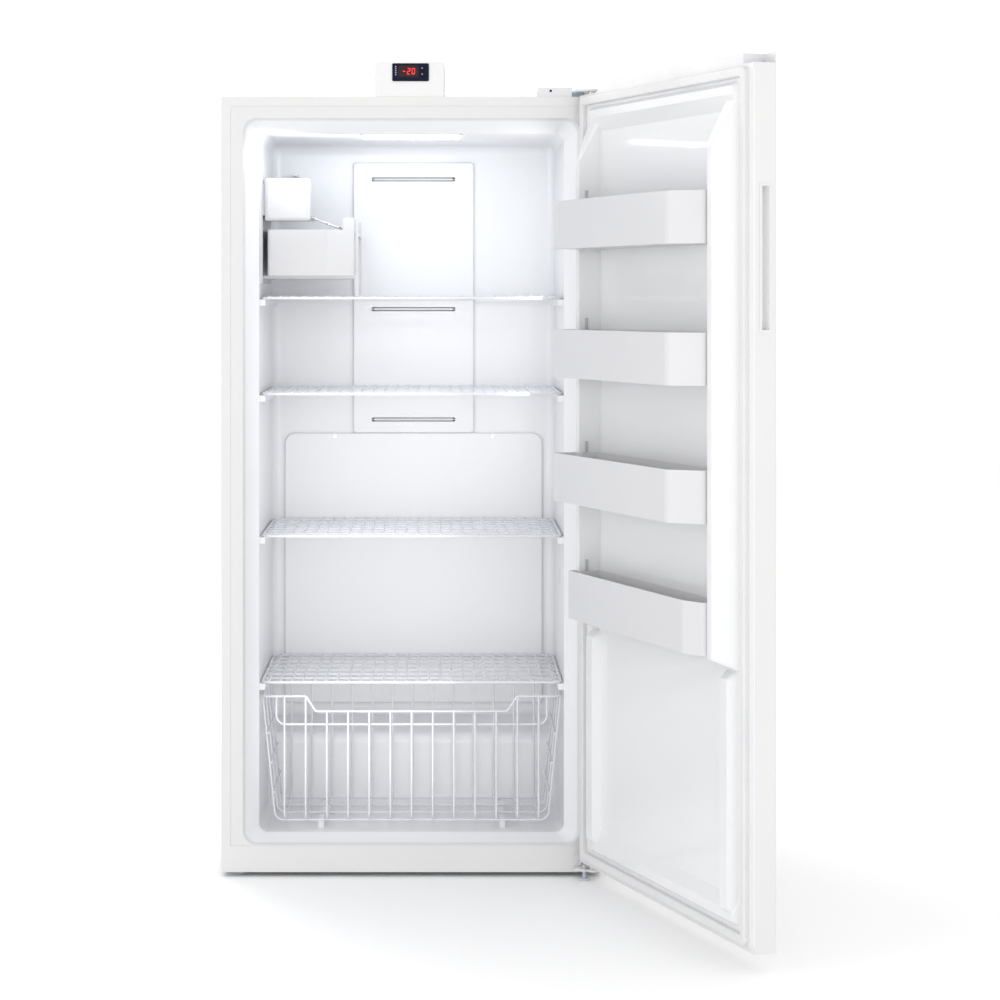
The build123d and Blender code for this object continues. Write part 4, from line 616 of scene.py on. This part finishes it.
# the open door's own directions: along it from the hinge, and outwards through its skin
doorSetup = {"turn": 109.8, "hinge": (0.3925, -0.371, 0), "beside": 0.020, "behind": 0.023}
doorTurn = radians(doorSetup["turn"])
doorAlong = Vector((-cos(doorTurn), -sin(doorTurn), 0))
doorOut = Vector((sin(doorTurn), -cos(doorTurn), 0))
doorCorner = Vector(doorSetup["hinge"]) - doorAlong * doorSetup["beside"] - doorOut * doorSetup["behind"]
doorFrame = Matrix((
    (doorAlong.x, doorOut.x, 0, doorCorner.x),
    (doorAlong.y, doorOut.y, 0, doorCorner.y),
    (0, 0, 1, 0),
    (0, 0, 0, 1),
))

# grey plates on the door liner, painted shade standing for the dark inside the bin hooks' slots
hookSlotShades = {"along": 0.1095, "thick": 0.003, "depth": -0.030, "width": 0.007, "tall": 0.024,
             "above": 0.012, "edge": 0.001}
for number in range(1, 5):
    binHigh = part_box(f"door_bin_{number}")[1]
    level = binHigh.z + hookSlotShades["above"]
    low = (hookSlotShades["along"] - hookSlotShades["thick"], hookSlotShades["depth"] - hookSlotShades["width"] / 2,
           level - hookSlotShades["tall"] / 2)
    high = (hookSlotShades["along"], hookSlotShades["depth"] + hookSlotShades["width"] / 2, level + hookSlotShades["tall"] / 2)
    hookMesh = bmesh.new()
    block(hookMesh, low, high, hookSlotShades["edge"], 1)
    bmesh.ops.transform(hookMesh, matrix=doorFrame, verts=hookMesh.verts)
    keepPiece(f"hookSlot{number}", hookMesh, "door", "greyPlastic")
print("liner slots done")

# vanes in the air duct's slots, each with a pin at either end

ductVanes = {"levels": (0.970, 1.231, 1.538), "half": 0.0985, "inset": 0.0055, "tall": 0.0056,
             "front": 0.1484, "depth": 0.0034, "edge": 0.0008}
vanePins = {"tip": 0.0005, "root": 0.0075, "behind": 0.0008, "half": 0.0010, "edge": 0.0002}
vaneFront = ductVanes["front"]
vaneBack = vaneFront + ductVanes["depth"]
vaneHalf = ductVanes["half"] - ductVanes["inset"]
for number, level in enumerate(ductVanes["levels"], 1):
    vaneMesh = bmesh.new()
    block(vaneMesh, (-vaneHalf, vaneFront, level - ductVanes["tall"] / 2),
          (vaneHalf, vaneBack, level + ductVanes["tall"] / 2), ductVanes["edge"])
    for side in (-1, 1):
        tip = side * (ductVanes["half"] + vanePins["tip"])
        root = side * (ductVanes["half"] - vanePins["root"])
        block(vaneMesh, (min(tip, root), vaneFront + vanePins["behind"], level - vanePins["half"]),
              (max(tip, root), vaneBack, level + vanePins["half"]), vanePins["edge"], 1)
    keepPiece(f"ductVane{number}", vaneMesh, "cabinet", "vanePlastic")

# lamp: a thin frame round the lens and the prism ribs across it

lampLow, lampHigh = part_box("lamp_lens")
lampMiddle = (lampLow + lampHigh) / 2
lampFrame = {"width": 0.0043, "drop": 0.0035, "corner": 0.0125, "margin": 0.0045}
frameMesh = bmesh.new()
frameSize = [extent + 2 * lampFrame["margin"] for extent in lampHigh - lampLow]
frameRing(frameMesh, frameSize, lampFrame["width"], lampFrame["drop"], lampFrame["corner"],
          Matrix.Translation((lampMiddle.x, lampMiddle.y, lampHigh.z)) @ faceDown)
keepPiece("lampFrame", frameMesh, "cabinet", "casePlastic")

lampRibs = {"count": 34, "end": 0.015, "side": 0.006, "half": 0.0016, "below": 0.0005, "above": 0.0002,
            "edge": 0.0004}
ribMesh = bmesh.new()
ribPitch = (lampHigh.x - lampLow.x - 2 * lampRibs["end"]) / lampRibs["count"]
for number in range(lampRibs["count"]):
    middle = lampLow.x + lampRibs["end"] + (number + 0.5) * ribPitch
    block(ribMesh,
          (middle - lampRibs["half"], lampLow.y + lampRibs["side"], lampLow.z - lampRibs["below"]),
          (middle + lampRibs["half"], lampHigh.y - lampRibs["side"], lampLow.z + lampRibs["above"]),
          lampRibs["edge"], 1)
keepPiece("lampRibs", ribMesh, "cabinet", "lampGlow")
print("duct and lamp done")

# controller case: louvres and two low domed screws on each side

caseLow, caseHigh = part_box("controller_housing")
caseLouvres = {"count": 6, "first": 0.016, "pitch": 0.0085, "tall": 0.0032, "front": 0.024, "long": 0.042,
               "proud": 0.0009, "edge": 0.0006}
caseScrews = {"radius": 0.0028, "rise": 0.00126, "edge": 0.00098, "sides": 24, "back": 0.012,
              "low": 0.009, "high": 0.010}
louvreMesh = bmesh.new()
screwMesh = bmesh.new()
louvreFront = caseLow.y + caseLouvres["front"]
for side, face, turn in ((-1, caseLow.x, faceLeft), (1, caseHigh.x, faceRight)):
    outer = face + side * caseLouvres["proud"]
    for number in range(caseLouvres["count"]):
        level = caseLow.z + caseLouvres["first"] + number * caseLouvres["pitch"]
        block(louvreMesh, (min(face, outer), louvreFront, level),
              (max(face, outer), louvreFront + caseLouvres["long"], level + caseLouvres["tall"]),
              caseLouvres["edge"])
    for level in (caseLow.z + caseScrews["low"], caseHigh.z - caseScrews["high"]):
        disc(screwMesh, (face, caseHigh.y - caseScrews["back"], level), caseScrews["radius"],
             caseScrews["rise"], turn, caseScrews["edge"], caseScrews["sides"])
keepPiece("caseLouvres", louvreMesh, "cabinet", "casePlastic")
keepPiece("caseScrews", screwMesh, "cabinet", "platedSteel")

# ice maker: the cover on the front of its gearbox

gearLow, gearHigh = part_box("ice_maker_housing")
gearCover = {"margin": 0.0045, "proud": 0.0012, "edge": 0.0011, "steps": 3}
coverMesh = bmesh.new()
block(coverMesh,
      (gearLow.x + gearCover["margin"], gearLow.y - gearCover["proud"], gearLow.z + gearCover["margin"]),
      (gearHigh.x - gearCover["margin"], gearLow.y, gearHigh.z - gearCover["margin"]),
      gearCover["edge"], gearCover["steps"])
keepPiece("gearboxCover", coverMesh, "cabinet", "icePlasticPaintedDarker")

# back: pressed beads, and caps over the foam filling holes, each with a raised middle

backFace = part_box("back_panel")[1].y
backBeads = {"across": (-0.170, -0.010, 0.150, 0.310), "low": 0.300, "high": 1.600, "width": 0.011,
             "proud": 0.0013, "edge": 0.0012, "steps": 3}
beadMesh = bmesh.new()
for across in backBeads["across"]:
    block(beadMesh, (across - backBeads["width"] / 2, backFace, backBeads["low"]),
          (across + backBeads["width"] / 2, backFace + backBeads["proud"], backBeads["high"]),
          backBeads["edge"], backBeads["steps"])
keepPiece("backBeads", beadMesh, "cabinet", "zincSheet")

fillingCaps = {"places": ((-0.090, 1.640), (0.230, 1.640), (-0.090, 0.255), (0.230, 0.255)),
               "radius": 0.0150, "proud": 0.0016, "edge": 0.0008, "sides": 40}
capMiddles = {"radius": 0.00825, "start": 0.0015, "proud": 0.0009, "edge": 0.0004}
capMesh = bmesh.new()
for across, level in fillingCaps["places"]:
    disc(capMesh, (across, backFace, level), fillingCaps["radius"], fillingCaps["proud"], faceBack,
         fillingCaps["edge"], fillingCaps["sides"])
    disc(capMesh, (across, backFace + capMiddles["start"], level), capMiddles["radius"],
         capMiddles["proud"], faceBack, capMiddles["edge"])
keepPiece("fillingCaps", capMesh, "cabinet", "greyPlastic")
print("case, ice maker and back done")
